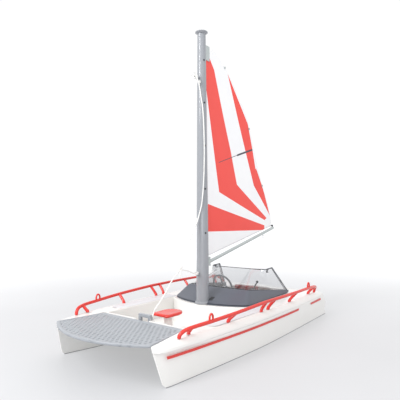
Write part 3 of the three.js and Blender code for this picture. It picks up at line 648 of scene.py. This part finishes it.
# a D-shaped lid: its plan is a straight front joined to a half circle, its edge is a half ellipse, and its
# top is dished a little towards the middle
def addSeat(design):
    corner, half, roll = design["corner"], design["half"], design["roll"]
    top, under = design["top"], design["under"]
    bow = np.linspace(math.pi / 2, 3 * math.pi / 2, 60)
    back = np.column_stack([design["back"] + half + half * np.cos(bow), half * np.sin(bow)])
    quarter = np.linspace(-math.pi / 2, 0, 10)
    right = np.column_stack([design["front"] - corner + corner * np.cos(quarter),
                             corner - half + corner * np.sin(quarter)])
    plan = np.vstack([back, right, right[::-1] * (1, -1)])
    middle = np.array([(design["front"] + design["back"]) / 2, 0])
    turn = np.linspace(-math.pi / 2, math.pi / 2, 9)
    share = np.concatenate([[0, 0.5], 1 - roll * (1 - np.cos(turn)) / half, [0.6, 0.3, 0]])
    edge = (top + under) / 2 + (top - under) / 2 * np.sin(turn)
    height = np.concatenate([[under, under], edge, top - design["dish"] * np.array([0.42, 0.92, 1])])
    grid = raised(middle + (plan - middle) * share[:, None, None], height[:, None])
    makePiece("foredeck_seat_skin", [quads(grid, around=True)], "platform", red,
              ["foredeck_seat"], smooth=50)


addSeat(seat)


# trampoline net
net = {
    "back": 128.2, "backHalf": 65.8, "corner": 188.6, "cornerHalf": 74.95, "apex": 212.75,
    "top": 42.2, "thick": 3, "rim": 3.2, "square": 0.6, "panel": 0.6,
    "pitchX": 4.1, "pitchY": 5.9, "holeX": 1.35, "holeY": 2.0,
    "tongueHalf": 10.4, "tongueAft": 117.6, "tongueTop": 38.4, "plate": 2.2,
}


# outline of the net: straight back and sides, and a front edge that bows out as a parabola
def netOutline(design, inset):
    across = np.linspace(-1, 1, 61)
    bow = design["apex"] - inset - (design["apex"] - design["corner"]) * across ** 2
    front = np.column_stack([bow, across * (design["cornerHalf"] - inset)])
    back = np.linspace(1, -1, 31) * (design["backHalf"] - inset)
    return np.vstack([front, np.column_stack([np.full(31, design["back"] + inset), back])])


# rounds the corners of a closed outline by averaging each point with its neighbours along an even walk
def softCorners(outline, count, reach):
    closed = np.vstack([outline, outline[:1]])
    walk = evenly(closed, count + 1)[:-1]
    total = sum(np.roll(walk, k, axis=0) for k in range(-reach, reach + 1))
    return total / (2 * reach + 1)


# rim: a rounded bar carried round the outline; its section is a superellipse from the outline to its inset
def netRim(design):
    outside, inside = (softCorners(netOutline(design, inset), 420, 2) for inset in (0, design["rim"]))
    turn = np.linspace(0, 2 * math.pi, 20, endpoint=False)
    across, up = (np.sign(wave) * np.abs(wave) ** design["square"] for wave in (np.cos(turn), np.sin(turn)))
    plan = inside[:, None] + (outside - inside)[:, None] * (0.5 + 0.5 * across)[None, :, None]
    grid = raised(plan, (design["top"] + (up - 1) * design["thick"] / 2)[None])
    return quads(np.concatenate([grid, grid[:1]]), around=True)


# panel: a staggered lattice; each cell is a four-sided frame round a lens-shaped hole, and cells that the rim
# crosses are left solid; the ribs draw in below the top, so each hole opens into shade
def netPanel(design):
    rows = int((design["apex"] - design["back"]) / design["pitchX"]) + 1
    columns = int(2 * design["cornerHalf"] / design["pitchY"]) + 3
    row, column = np.meshgrid(np.arange(rows), np.arange(columns), indexing="ij")
    x = design["back"] + design["rim"] / 2 + (row + 0.5) * design["pitchX"]
    y = (column - (columns - 1) / 2 + 0.5 * (row % 2)) * design["pitchY"]
    flare = (design["cornerHalf"] - design["backHalf"]) / (design["corner"] - design["back"])
    side = design["backHalf"] + (x - design["back"]) * flare
    front = design["apex"] - (design["apex"] - design["corner"]) * (y / design["cornerHalf"]) ** 2
    room = np.minimum(np.minimum(side - np.abs(y), front - x), x - design["back"])
    keep = room > design["rim"] / 2
    solid = room[keep] < design["rim"] + 1.2
    square = np.array([(-1, -1), (0, -1), (1, -1), (1, 0), (1, 1), (0, 1), (-1, 1), (-1, 0)]) * 0.5
    lens = np.array([(-0.5, -0.5), (0, -1), (0.5, -0.5), (1, 0), (0.5, 0.5), (0, 1), (-0.5, 0.5), (-1, 0)])
    holes = np.where(solid[:, None, None], 0.0, lens * (design["holeX"], design["holeY"]))
    cells = np.broadcast_to(square * (design["pitchX"], design["pitchY"]), holes.shape)
    top = design["top"] - design["panel"]
    bottom = design["top"] - design["thick"] + 0.6
    loops = [(cells, top), (holes * 1.15, top), (holes, top - 0.35), (holes * 1.35, top - 1.2),
             (holes * 1.35, bottom), (cells, bottom)]
    centres = np.column_stack([x[keep], y[keep]])[:, None]
    levels = np.stack([raised(centres + shape, height) for shape, height in loops], axis=1)
    number = np.arange(levels.size // 3).reshape(levels.shape[:3])
    beside = np.roll(number, -1, axis=2)
    faces = np.stack([number[:, :-1], number[:, 1:], beside[:, 1:], beside[:, :-1]], axis=-1).reshape(-1, 4)
    return levels.reshape(-1, 3), faces, np.zeros((faces.size, 2))


# a block: its plan is a superellipse of high power, so nearly square, drawn in a little at top and foot
def block(x0, x1, y0, y1, z0, z1, edge=0.4):
    t = np.linspace(0, 2 * math.pi, 32, endpoint=False) + math.pi / 32
    plan = np.column_stack([np.sign(wave) * np.abs(wave) ** 0.12 for wave in (np.cos(t), np.sin(t))])
    half = np.array([x1 - x0, y1 - y0]) / 2
    middle = np.array([x0 + x1, y0 + y1]) / 2
    levels = [(0, z0, edge), (1, z0, edge), (1, z0 + edge, 0), (1, z1 - edge, 0), (1, z1, edge),
              (0, z1, edge)]
    return quads(np.array([raised(middle + plan * np.maximum(half - inset, 0.01) * full, z)
                           for full, z, inset in levels]), around=True)


# the net is its rim, its panel and a tongue, with an upright plate that joins the tongue to the panel
def addNet(design):
    parts = [netRim(design), netPanel(design)]
    half, low = design["tongueHalf"], design["tongueTop"] - design["plate"]
    parts.append(block(design["tongueAft"], design["back"] + 3.8, -half, half, low, design["tongueTop"]))
    parts.append(block(design["back"], design["back"] + 2.8, -half, half, low, design["top"] - 1))
    makePiece("trampoline_net_lattice", parts, "platform", netGrey, ["trampoline_net"], smooth=30)


addNet(net)
print("net woven")


mast = {"x": 12.45, "low": 42.7, "high": 414.6, "lowRadius": 8.75, "highRadius": 5.9, "capTop": 417.9,
        "capRadius": 8.8, "collarHigh": 3.2, "collarRadius": 10.7}


# the mast is a tapered tube with a low collar round its foot, and its cap is a dish with a rolled lip
def addMast(design):
    def turnedPiece(name, profile, standsFor, smooth=35):
        makePiece(name, [turned(profile, (design["x"], 0, 0), sides=72)], "platform", mastGrey,
                  standsFor, smooth)

    floor, high, foot, tip = (design[key] for key in ("low", "high", "lowRadius", "highRadius"))
    wall, wide, top = foot - 0.2, design["collarRadius"], floor + design["collarHigh"]
    turnedPiece("mast_collar", [(wall, floor), (wide, floor), (wide, top - 1.2), (wide - 0.4, top - 0.4),
                                (wide - 1.2, top), (wall, top), (wall, floor)], ())
    heights = np.linspace(floor + 0.5, high, 40)
    radii = foot + (tip - foot) * (heights - floor) / (high - floor)
    turnedPiece("mast_tube", [(0, floor), (foot - 0.4, floor), (foot, floor + 0.4), *zip(radii, heights),
                              (tip - 1, high + 0.05), (0, high + 0.05)], ["mast"])
    top, wide, low, neck = design["capTop"], design["capRadius"], high + 0.3, tip + 0.8
    turnedPiece("mast_cap_dish", [(0, low), (neck - 0.3, low), (neck, low + 0.3), (wide - 0.7, top - 1.5),
                                  (wide, top - 1.1), (wide, top - 0.4), (wide - 0.4, top), (wide - 1.3, top),
                                  (wide - 1.7, top - 0.5), (wide - 2.2, top - 0.8), (0, top - 0.7)],
                ["mast_cap"], 50)


addMast(mast)


boom = {"root": (-3, 97.57), "end": (-189.5, 140.4), "radius": 2.4, "pivotX": -1, "eye": 2.9, "eyeLow": 94.3,
        "eyeHigh": 102.2, "pin": 1.5, "ringX": -154.7, "ring": 2.2, "ringThick": 0.6, "ringDrop": 3.3}


# the spar is a round bar, and a turned eye at its root goes round the pivot
def addBoom(design):
    (x0, z0), (x1, z1) = design["root"], design["end"]
    line = np.linspace((x0, 0, z0), (x1, 0, z1), 40)
    radii = np.full(40, design["radius"])
    radii[-3:] *= (1.0, 0.99, 0.97)
    eye, pin, low, high = design["eye"], design["pin"], design["eyeLow"], design["eyeHigh"]
    lug = [(pin, low), (eye - 0.3, low), (eye, low + 0.3), (eye, high - 0.3), (eye - 0.3, high), (pin, high),
           (pin, low)]
    makePiece("boom_spar", [tube(line, radii, sides=28), turned(lug, (design["pivotX"], 0, 0), sides=40)],
              "sail_rig", paleGrey, ["boom"], smooth=40)


addBoom(boom)


# the sail's edges in the boat's centre plane, as (x, z)
sail = {
    "luff": [(2.1, 105.2), (4.6, 380.7)],
    "leech": [(-13, 401.6), (-43.6, 384.5), (-87.2, 342.2), (-111.9, 307.7), (-126.1, 271.3), (-146.4, 224.7),
              (-162.8, 196.7), (-178.9, 162.6), (-182.8, 143.6)],
    "thick": 0.25, "belly": 2.2, "ripple": 0.35,
}
# printed red panels, each a convex shape in the sail's plane: upper and lower part of the luff panel, upper
# and lower part of the leech panel, and the foot panel
sailPrint = {
    "panels": [
        [(-29.1, 195.9), (3.1, 345), (4.8, 385), (-4.1, 389.2), (-18, 372.8), (-34.5, 331), (-62.2, 260),
         (-77.9, 209)],
        [(-29.1, 195.9), (-45, 206), (-77.9, 209.6), (-167.1, 157.5), (-160.5, 153.8)],
        [(-52, 376.5), (-91, 331), (-108.8, 309.5), (-121.8, 272.5), (-131.5, 240.5), (-127, 210.9)],
        [(-127, 210.9), (-121, 225), (-133.5, 240.5), (-151.5, 213.6), (-159.4, 200.4), (-178.6, 162)],
        [(4, 179), (-159.2, 145.1), (-159.1, 137.2), (4, 139.3)],
    ],
    "line": [(-29, 239.1), (-122.8, 269.5)],  # a plain dark line across the cloth, thicker towards the leech
    "lineThin": 0.5, "lineThick": 1.5, "lineStep": -79,
    "thread": 1.6,  # real thread spacing is about 0.3, drawn coarser so that it shows
    "white": ("#f3f3f4", "#eaebee"), "red": ("#ee4a40", "#e54239"), "ink": "#3f3f4b", "clouds": 40,
}


# the cloth is a ruled sheet between luff and leech; it bellies to starboard as a product of two half sine
# waves, and small sine creases run through the belly
def addSail(design, material):
    rows, columns = 130, 90
    leech = smoothPath([(x, 0, z) for x, z in design["leech"]], 160)[:, [0, 2]]
    luffLow, luffHigh = (np.array(p) for p in design["luff"])
    up = np.linspace(0, 1, rows)[:, None]
    across = np.linspace(0, 1, columns)[None]
    front = luffLow + up * (luffHigh - luffLow)
    back = evenly(leech[::-1], rows)
    plan = front[:, None] + across[..., None] * (back - front)[:, None]
    crease = design["ripple"] * np.sin(9 * across + 5 * up)
    bow = (design["belly"] + crease) * np.sin(math.pi * up) * np.sin(math.pi * across)
    grid = np.stack([plan[..., 0], -bow, plan[..., 1]], axis=-1)
    piece = makePiece("sail_cloth", [quads(grid)], "sail_rig", material, ["sail"], smooth=60,
                      closed=False)
    solid = piece.modifiers.new("cloth", "SOLIDIFY")
    solid.thickness = design["thick"] * mm
    solid.offset = 0


# ripstop nylon: a fine square weave, printed with flat red panels and a thin dark line
# a panel's inside is where the least distance to its edges is above nothing
def ripstop(design):
    settings = {"Roughness": 0.62, "Sheen Weight": 0.15, "IOR": 1.5}
    material, shader = newMaterial("printed ripstop nylon", settings)
    place = addNode(material, "TexCoord")
    parts = addNode(material, "SeparateXYZ", links={"Vector": (place, "Object")})
    x, z = (parts, "X"), (parts, "Z")
    panels = []
    for panel in design["panels"]:
        depths = []
        middle = np.mean(panel, axis=0)
        for (x0, z0), (x1, z1) in zip(panel, panel[1:] + panel[:1]):
            normal = np.array([z0 - z1, x1 - x0]) / math.hypot(x1 - x0, z1 - z0)
            normal *= np.sign(normal @ (middle - (x0, z0)))
            start = mathNode(material, "MULTIPLY_ADD", x, normal[0], -normal @ (x0, z0) * mm)
            depths.append(mathNode(material, "MULTIPLY_ADD", z, normal[1], start))
        panels.append(foldNodes(material, "MINIMUM", depths))
    inside = foldNodes(material, "MAXIMUM", panels)
    stamp = addNode(material, "MapRange", {"From Min": -0.1 * mm, "From Max": 0.1 * mm}, {"Value": inside})
    (x0, z0), (x1, z1) = design["line"]
    slope = (z1 - z0) / (x1 - x0)
    rise = mathNode(material, "MULTIPLY_ADD", x, -slope, (slope * x0 - z0) * mm)
    gap = mathNode(material, "ABSOLUTE", mathNode(material, "ADD", rise, z))
    step = design["lineStep"] * mm
    widths = {"From Min": step, "From Max": step - 2 * mm, "To Min": design["lineThin"] * mm,
              "To Max": design["lineThick"] * mm}
    thick = addNode(material, "MapRange", widths, {"Value": x})
    line = foldNodes(material, "MULTIPLY", [
        mathNode(material, "LESS_THAN", gap, (thick, "Result")),
        mathNode(material, "LESS_THAN", x, x0 * mm),
        mathNode(material, "GREATER_THAN", x, x1 * mm),
    ])
    cloud = clouds(material, design["clouds"])
    plain, dyed = (mixNode(material, cloud, *design[key]) for key in ("white", "red"))
    printed = mixNode(material, (stamp, "Result"), plain, dyed)
    joinUp(material, mixNode(material, line, printed, design["ink"]), shader, "Base Color")
    turns = 2 * math.pi / (design["thread"] * mm)
    weave = [mathNode(material, "SINE", mathNode(material, "MULTIPLY", axis, turns)) for axis in (x, z)]
    addRelief(material, shader, mathNode(material, "MULTIPLY", *weave), 0.12)
    return material


addSail(sail, ripstop(sailPrint))
print("sail set")


rails = {
    "forward": {
        "path": [(156.5, 82, 42.7), (156.2, 82.4, 45), (152.5, 84.5, 48.6), (145, 87, 50.5), (118, 91.5, 52),
                 (77, 96, 54), (14, 98.8, 56.4), (4.7, 99.3, 56.5)],
        "feet": [[(141, 81.2, 42.7), (143.4, 87.3, 50.6)], [(77.5, 86, 42.7), (77, 96, 54)],
                 [(10.6, 89.8, 42.7), (13, 98.8, 56.3)]],
        "eyelet": (116.8, 91.6, 52),
    },
    "aft": {
        "path": [(3.9, 99.3, 56.5), (-6, 99.8, 56.5), (-69, 100.7, 56.6), (-115, 98.6, 56),
                 (-146, 93.8, 53.2), (-155, 90.6, 50), (-158.6, 87.6, 46.2), (-159, 86.4, 42.7)],
        "feet": [[(-5.8, 90, 42.7), (-7, 99.8, 56.4)], [(-66, 90.2, 42.7), (-68, 100.7, 56.5)],
                 [(-137, 86.4, 42.7), (-139, 95.2, 54)]],
        "eyelet": (-110, 99, 56),
    },
    "radius": 2, "footRadius": 1.9, "eyeletRadius": 1.1,
}


# a rail is a bar along its path, with a bent foot under it at each post and a loop standing on it
def addRails(design):
    for name in ("forward", "aft"):
        shape = design[name]
        parts = [tube(smoothPath(shape["path"], 160), design["radius"], sides=20)]
        for low, high in shape["feet"]:
            low, high = np.array(low, float), np.array(high, float)
            knee = low + 0.35 * (high - low)
            knee[1] = low[1] + 0.2 * (high[1] - low[1])
            line = smoothPath([low, low + (0, 0, 1.4), knee, high], 30)
            radii = design["footRadius"] * (1 + 0.16 * np.exp(-np.linspace(0, 9, 30)))
            parts.append(tube(line, radii, side=(1, 0, 0), sides=18, domed=False))
        x, y, z = shape["eyelet"]
        loop = smoothPath([(x + 2.6, y, z), (x + 2.8, y, z + 4.6), (x + 1.6, y, z + 7), (x, y, z + 7.8),
                           (x - 1.6, y, z + 7), (x - 2.8, y, z + 4.6), (x - 2.6, y, z)], 40)
        parts.append(tube(loop, design["eyeletRadius"], sides=14))
        for side, mirror in (("port", 1), ("starboard", -1)):
            flipped = [(points * (1, mirror, 1), faces, uv) for points, faces, uv in parts]
            makePiece(f"{name}_rail_{side}_bar", flipped, "platform", red,
                      [f"{name}_rail_{side}"], smooth=50)


addRails(rails)
print("rails fitted")


glass = {
    "lowFront": (-20.3, 2, 51.5, 60.4),  # foremost x, sweep, half width, height
    "highFront": (-73.5, 2, 48.4, 82.4),
    "lowAft": (-125, 58, 47.8), "highAft": (-96.4, 48.4, 83.4),  # x, half width, height
    "thick": 1.2, "flange": 1.1, "inside": (-100, 0, 60),  # inside: a point that the pane goes round
}


# clear polystyrene, faintly smoked: it tints what is behind it and carries small moulding ripples
def clearPolystyrene(name, design):
    settings = {"Transmission Weight": 1.0, "Roughness": 0.04, "IOR": 1.45}
    material, shader = newMaterial(name, settings)
    swirl = clouds(material, 22, 1)
    joinUp(material, mixNode(material, swirl, design["tint"], design["deep"]), shader, "Base Color")
    addRelief(material, shader, swirl, 0.05)
    return material


clearSmoke = clearPolystyrene("clear smoked polystyrene", {"tint": "#e3e4e6", "deep": "#dcdddf"})
# the edge glass is tinted dark: painted shade for the dark look of the pane's edges, on real edge beads
darkEdgeGlass = clearPolystyrene("polystyrene edge with painted dark edge", {"tint": "#8b8f95", "deep": "#83878d"})


# the pane is a ruled sheet between a low and a high line; each line runs from the port aft corner to the
# front corner, round the front as a flat parabola, and back to the starboard aft corner
def glassLine(front, aft):
    x, sweep, half, z = front
    aftX, aftHalf, aftZ = aft
    side = np.linspace((aftX, aftHalf, aftZ), (x - sweep, half, z), 24)[:-1]
    y = np.linspace(half, -half, 41)
    nose = np.stack([x - sweep * (y / half) ** 2, y, np.full(41, float(z))], axis=1)
    line = np.vstack([side, nose, side[::-1] * (1, -1, 1)])
    return softLine(evenly(line, 181), 3)


# the pane's section goes up the outside, over its top edge and down the inside; beads stiffen its edges, and
# their dark tint is painted shade for the dark look that the glass takes at its edges; dark strips with small
# catches hang from its top
def addWindshield(design):
    low, high = (glassLine(design[name + "Front"], design[name + "Aft"]) for name in ("low", "high"))
    grid = low + np.linspace(0, 1, 26)[:, None, None] * (high - low)
    inward = unit(np.cross(unit(np.gradient(grid, axis=1)), unit(np.gradient(grid, axis=0))))
    inward *= np.sign(np.sum(inward * (np.array(design["inside"], float) - grid), axis=-1, keepdims=True))
    within = grid + design["thick"] * inward
    ring = np.concatenate([grid, within[::-1], grid[:1]])
    ends = [quads(np.stack([grid[:, k], within[:, k]], axis=1)) for k in (0, -1)]
    makePiece("windshield_pane", [quads(ring)] + ends, "platform", clearSmoke, ["windshield"],
              smooth=40)
    middle = (grid + within) / 2
    beads = [tube(evenly(middle[:, k], 40), radius, sides=14)
             for k, radius in ((1, design["flange"]), (4, 0.6), (-5, 0.6), (-2, design["flange"]))]
    top = middle[-1]
    beads.append(tube(top[2:-2], 0.8, side=(0, 0, 1), sides=12))
    makePiece("windshield_beads", beads, "platform", darkEdgeGlass)
    trims = []
    for sign, row in ((1, top), (-1, top[::-1])):
        trims.append(tube(row[2:22] + (0, 0, 0.2), 0.7, side=(0, 0, 1), sides=10))
        catch = row[16] + [(0, 0, 0), (1.5, -sign, -2.2), (0.5, -2 * sign, -4.6), (-1.8, -2.2 * sign, -5.4)]
        trims.append(tube(smoothPath(catch, 16), 0.8, sides=10))
    makePiece("windshield_trim", trims, "platform", charcoal)


addWindshield(glass)
print("windshield fitted")


wheel = {"centre": (-63, -19.4, 56), "tilt": 25, "radius": 15.8, "rim": 1.5, "hub": 3.0, "hubHalf": 2,
         "spoke": 1.2}


# the rim is a ring, the hub a turned button, and three round spokes thicken towards both ends by a parabola
def addWheel(design):
    tilt = math.radians(design["tilt"])
    axis = np.array([math.cos(tilt), 0, -math.sin(tilt)])
    upright = np.array([math.sin(tilt), 0, math.cos(tilt)])
    centre = np.array(design["centre"], float)
    hub, half, soft = design["hub"], design["hubHalf"], 0.5
    button = [(0, -half), (hub - soft, -half), (hub, soft - half), (hub, half - soft), (hub - soft, half),
              (0, half)]
    parts = [hoop(centre, axis, design["radius"], design["rim"], 16, 72), turned(button, centre, axis, 36)]
    for degrees in (90, 210, 330):
        angle = math.radians(degrees)
        out = math.cos(angle) * np.array([0, 1, 0]) + math.sin(angle) * upright
        line = centre + np.linspace(1, design["radius"] - 0.6, 14)[:, None] * out
        radii = design["spoke"] * (1 + 0.35 * np.linspace(1, -1, 14) ** 2)
        parts.append(tube(line, radii, side=tuple(axis), sides=14, domed=False))
    makePiece("steering_wheel_rim", parts, "steering_wheel", mastGrey, ["steering_wheel"],
              smooth=50)


addWheel(wheel)


# the clear ring hangs just under the boom
def addBoomRing(design):
    (x0, z0), (x1, z1) = boom["root"], boom["end"]
    x = design["ringX"]
    z = z0 + (x - x0) * (z1 - z0) / (x1 - x0) - design["radius"] - design["ringDrop"]
    makePiece("boom_ring_loop", [hoop((x, 0, z), (0, 1, 0), design["ring"], design["ringThick"], 12, 36)],
              "sail_rig", clearSmoke, ["boom_ring"])


addBoomRing(boom)


# thin pale grey strips lie on the side decks between the wells and the rails; their grey is painted shade
sideShadeBand = {"front": 103, "back": -8, "inner": 64.6, "outer": 84.5, "height": 0.5, "base": 42.42, "edge": 0.35,
         "nose": 10, "square": 2.2, "swell": 3.2, "swellRun": 150}


# strip plan: the outer edge swells as a quarter sine wave along the deck side, the inner edge is straight,
# and the front end is a half superellipse
def addSideShadeBands(design):
    front, straight = design["front"], design["front"] - design["nose"]
    x = np.concatenate([np.linspace(front, straight, 24), np.linspace(straight, design["back"], 60)[1:]])
    end = 1 - np.clip((front - x) / design["nose"], 0, 1)
    share = np.clip((front - x) / design["swellRun"], 0, 1)
    outer = design["outer"] + design["swell"] * np.sin(share * math.pi / 2)
    half = (outer - design["inner"]) / 2 * (1 - end ** design["square"]) ** (1 / design["square"])
    low, high = design["base"], design["base"] + design["height"]
    inset = np.array([1e3, 0, 0, design["edge"], 1e3])
    height = np.array([low, low, high - 0.2, high, high])
    width = np.maximum(half - inset[:, None], 0)
    middle = np.broadcast_to(np.column_stack([x, (outer + design["inner"]) / 2]), width.shape + (2,))
    grid = bothSides(middle, width, height[:, None])
    for side, mirror in (("port", 1), ("starboard", -1)):
        makePiece(f"side_shade_band_{side}", [quads(grid * (1, mirror, 1), around=True)], "platform",
                  sideShadeGrey, smooth=40)


addSideShadeBands(sideShadeBand)
print("fittings made")


# floor and light, in metres and watts
studio = {
    "floor": 8.0, "sky": "#ffffff", "skyPower": 1.02,
    "aim": (0, 0, 0.12),  # the lamps face this point
    # the floor's colours run from darker near the toy to paler far off, and its glow rises with them: painted
    # shade and painted light
    "sheet": {"near": "#939497", "nearDeep": "#9fa0a3", "far": "#bcbdc0", "clouds": 200,
              "glowNear": 0.34, "glowFar": 0.56, "fade": (0.16, 1.25)},
    "lamps": {
        "key": {"power": 4.2, "place": (0.4, 0.9, 1.5), "size": (1.3, 1.3)},
        "low": {"power": 1.8, "place": (1.1, 0.75, 0.16), "size": (0.7, 0.5)},
        "strip": {"power": 12.0, "place": (1.15, -0.22, 0.98), "size": (0.4, 0.8)},
    },
}


# floor: a sheet that glows though it is no lamp, painted fill light so that shadows on it stay soft and pale;
# it glows more and its colour grows paler the further it runs from the toy, painted light for the brighter
# far floor, until it meets the white backdrop unseen
def glowingFloorSheet(design):
    sheet, shader = newMaterial("floor sheet with painted glow", {"Roughness": 0.5, "Specular IOR Level": 0.25,
                                                             "Emission Color": linear("#ffffff")})
    place = addNode(sheet, "TexCoord")
    away = addNode(sheet, "VectorMath", {"operation": "LENGTH"}, {0: (place, "Object")})
    start, end = design["fade"]
    fading = {"From Min": start, "From Max": end, "interpolation_type": "SMOOTHSTEP"}
    share = addNode(sheet, "MapRange", fading, {"Value": (away, "Value")})
    near = mixNode(sheet, clouds(sheet, design["clouds"]), design["near"], design["nearDeep"])
    joinUp(sheet, mixNode(sheet, (share, "Result"), near, design["far"]), shader, "Base Color")
    glow = addNode(sheet, "MapRange", {"To Min": design["glowNear"], "To Max": design["glowFar"]},
                   {"Value": (share, "Result")})
    joinUp(sheet, (glow, "Result"), shader, "Emission Strength")
    return sheet


def addStudio(design):
    far = design["floor"]
    mesh = bpy.data.meshes.new("studio_floor")
    mesh.from_pydata([(-far, -far, 0), (far, -far, 0), (far, far, 0), (-far, far, 0)], [], [(0, 1, 2, 3)])
    floor = bpy.data.objects.new("studio_floor", mesh)
    scene.collection.objects.link(floor)
    mesh.materials.append(glowingFloorSheet(design["sheet"]))
    world = bpy.data.worlds.new("studio")
    scene.world = world
    world.use_nodes = True
    sky = world.node_tree.nodes["Background"]
    sky.inputs["Color"].default_value = linear(design["sky"])
    sky.inputs["Strength"].default_value = design["skyPower"]
    scene.view_settings.view_transform = "Standard"
    for name, lamp in design["lamps"].items():
        light = bpy.data.lights.new(name, "AREA")
        light.energy = lamp["power"]
        light.shape = "RECTANGLE"
        light.size, light.size_y = lamp["size"]
        holder = bpy.data.objects.new(name, light)
        place = np.array(lamp["place"], float)
        back = unit(place - design["aim"])
        side = unit(np.cross((0, 0, 1), back))
        holder.matrix_world = placed(side, np.cross(back, side), back, place)
        scene.collection.objects.link(holder)


addStudio(studio)
print("studio lit")
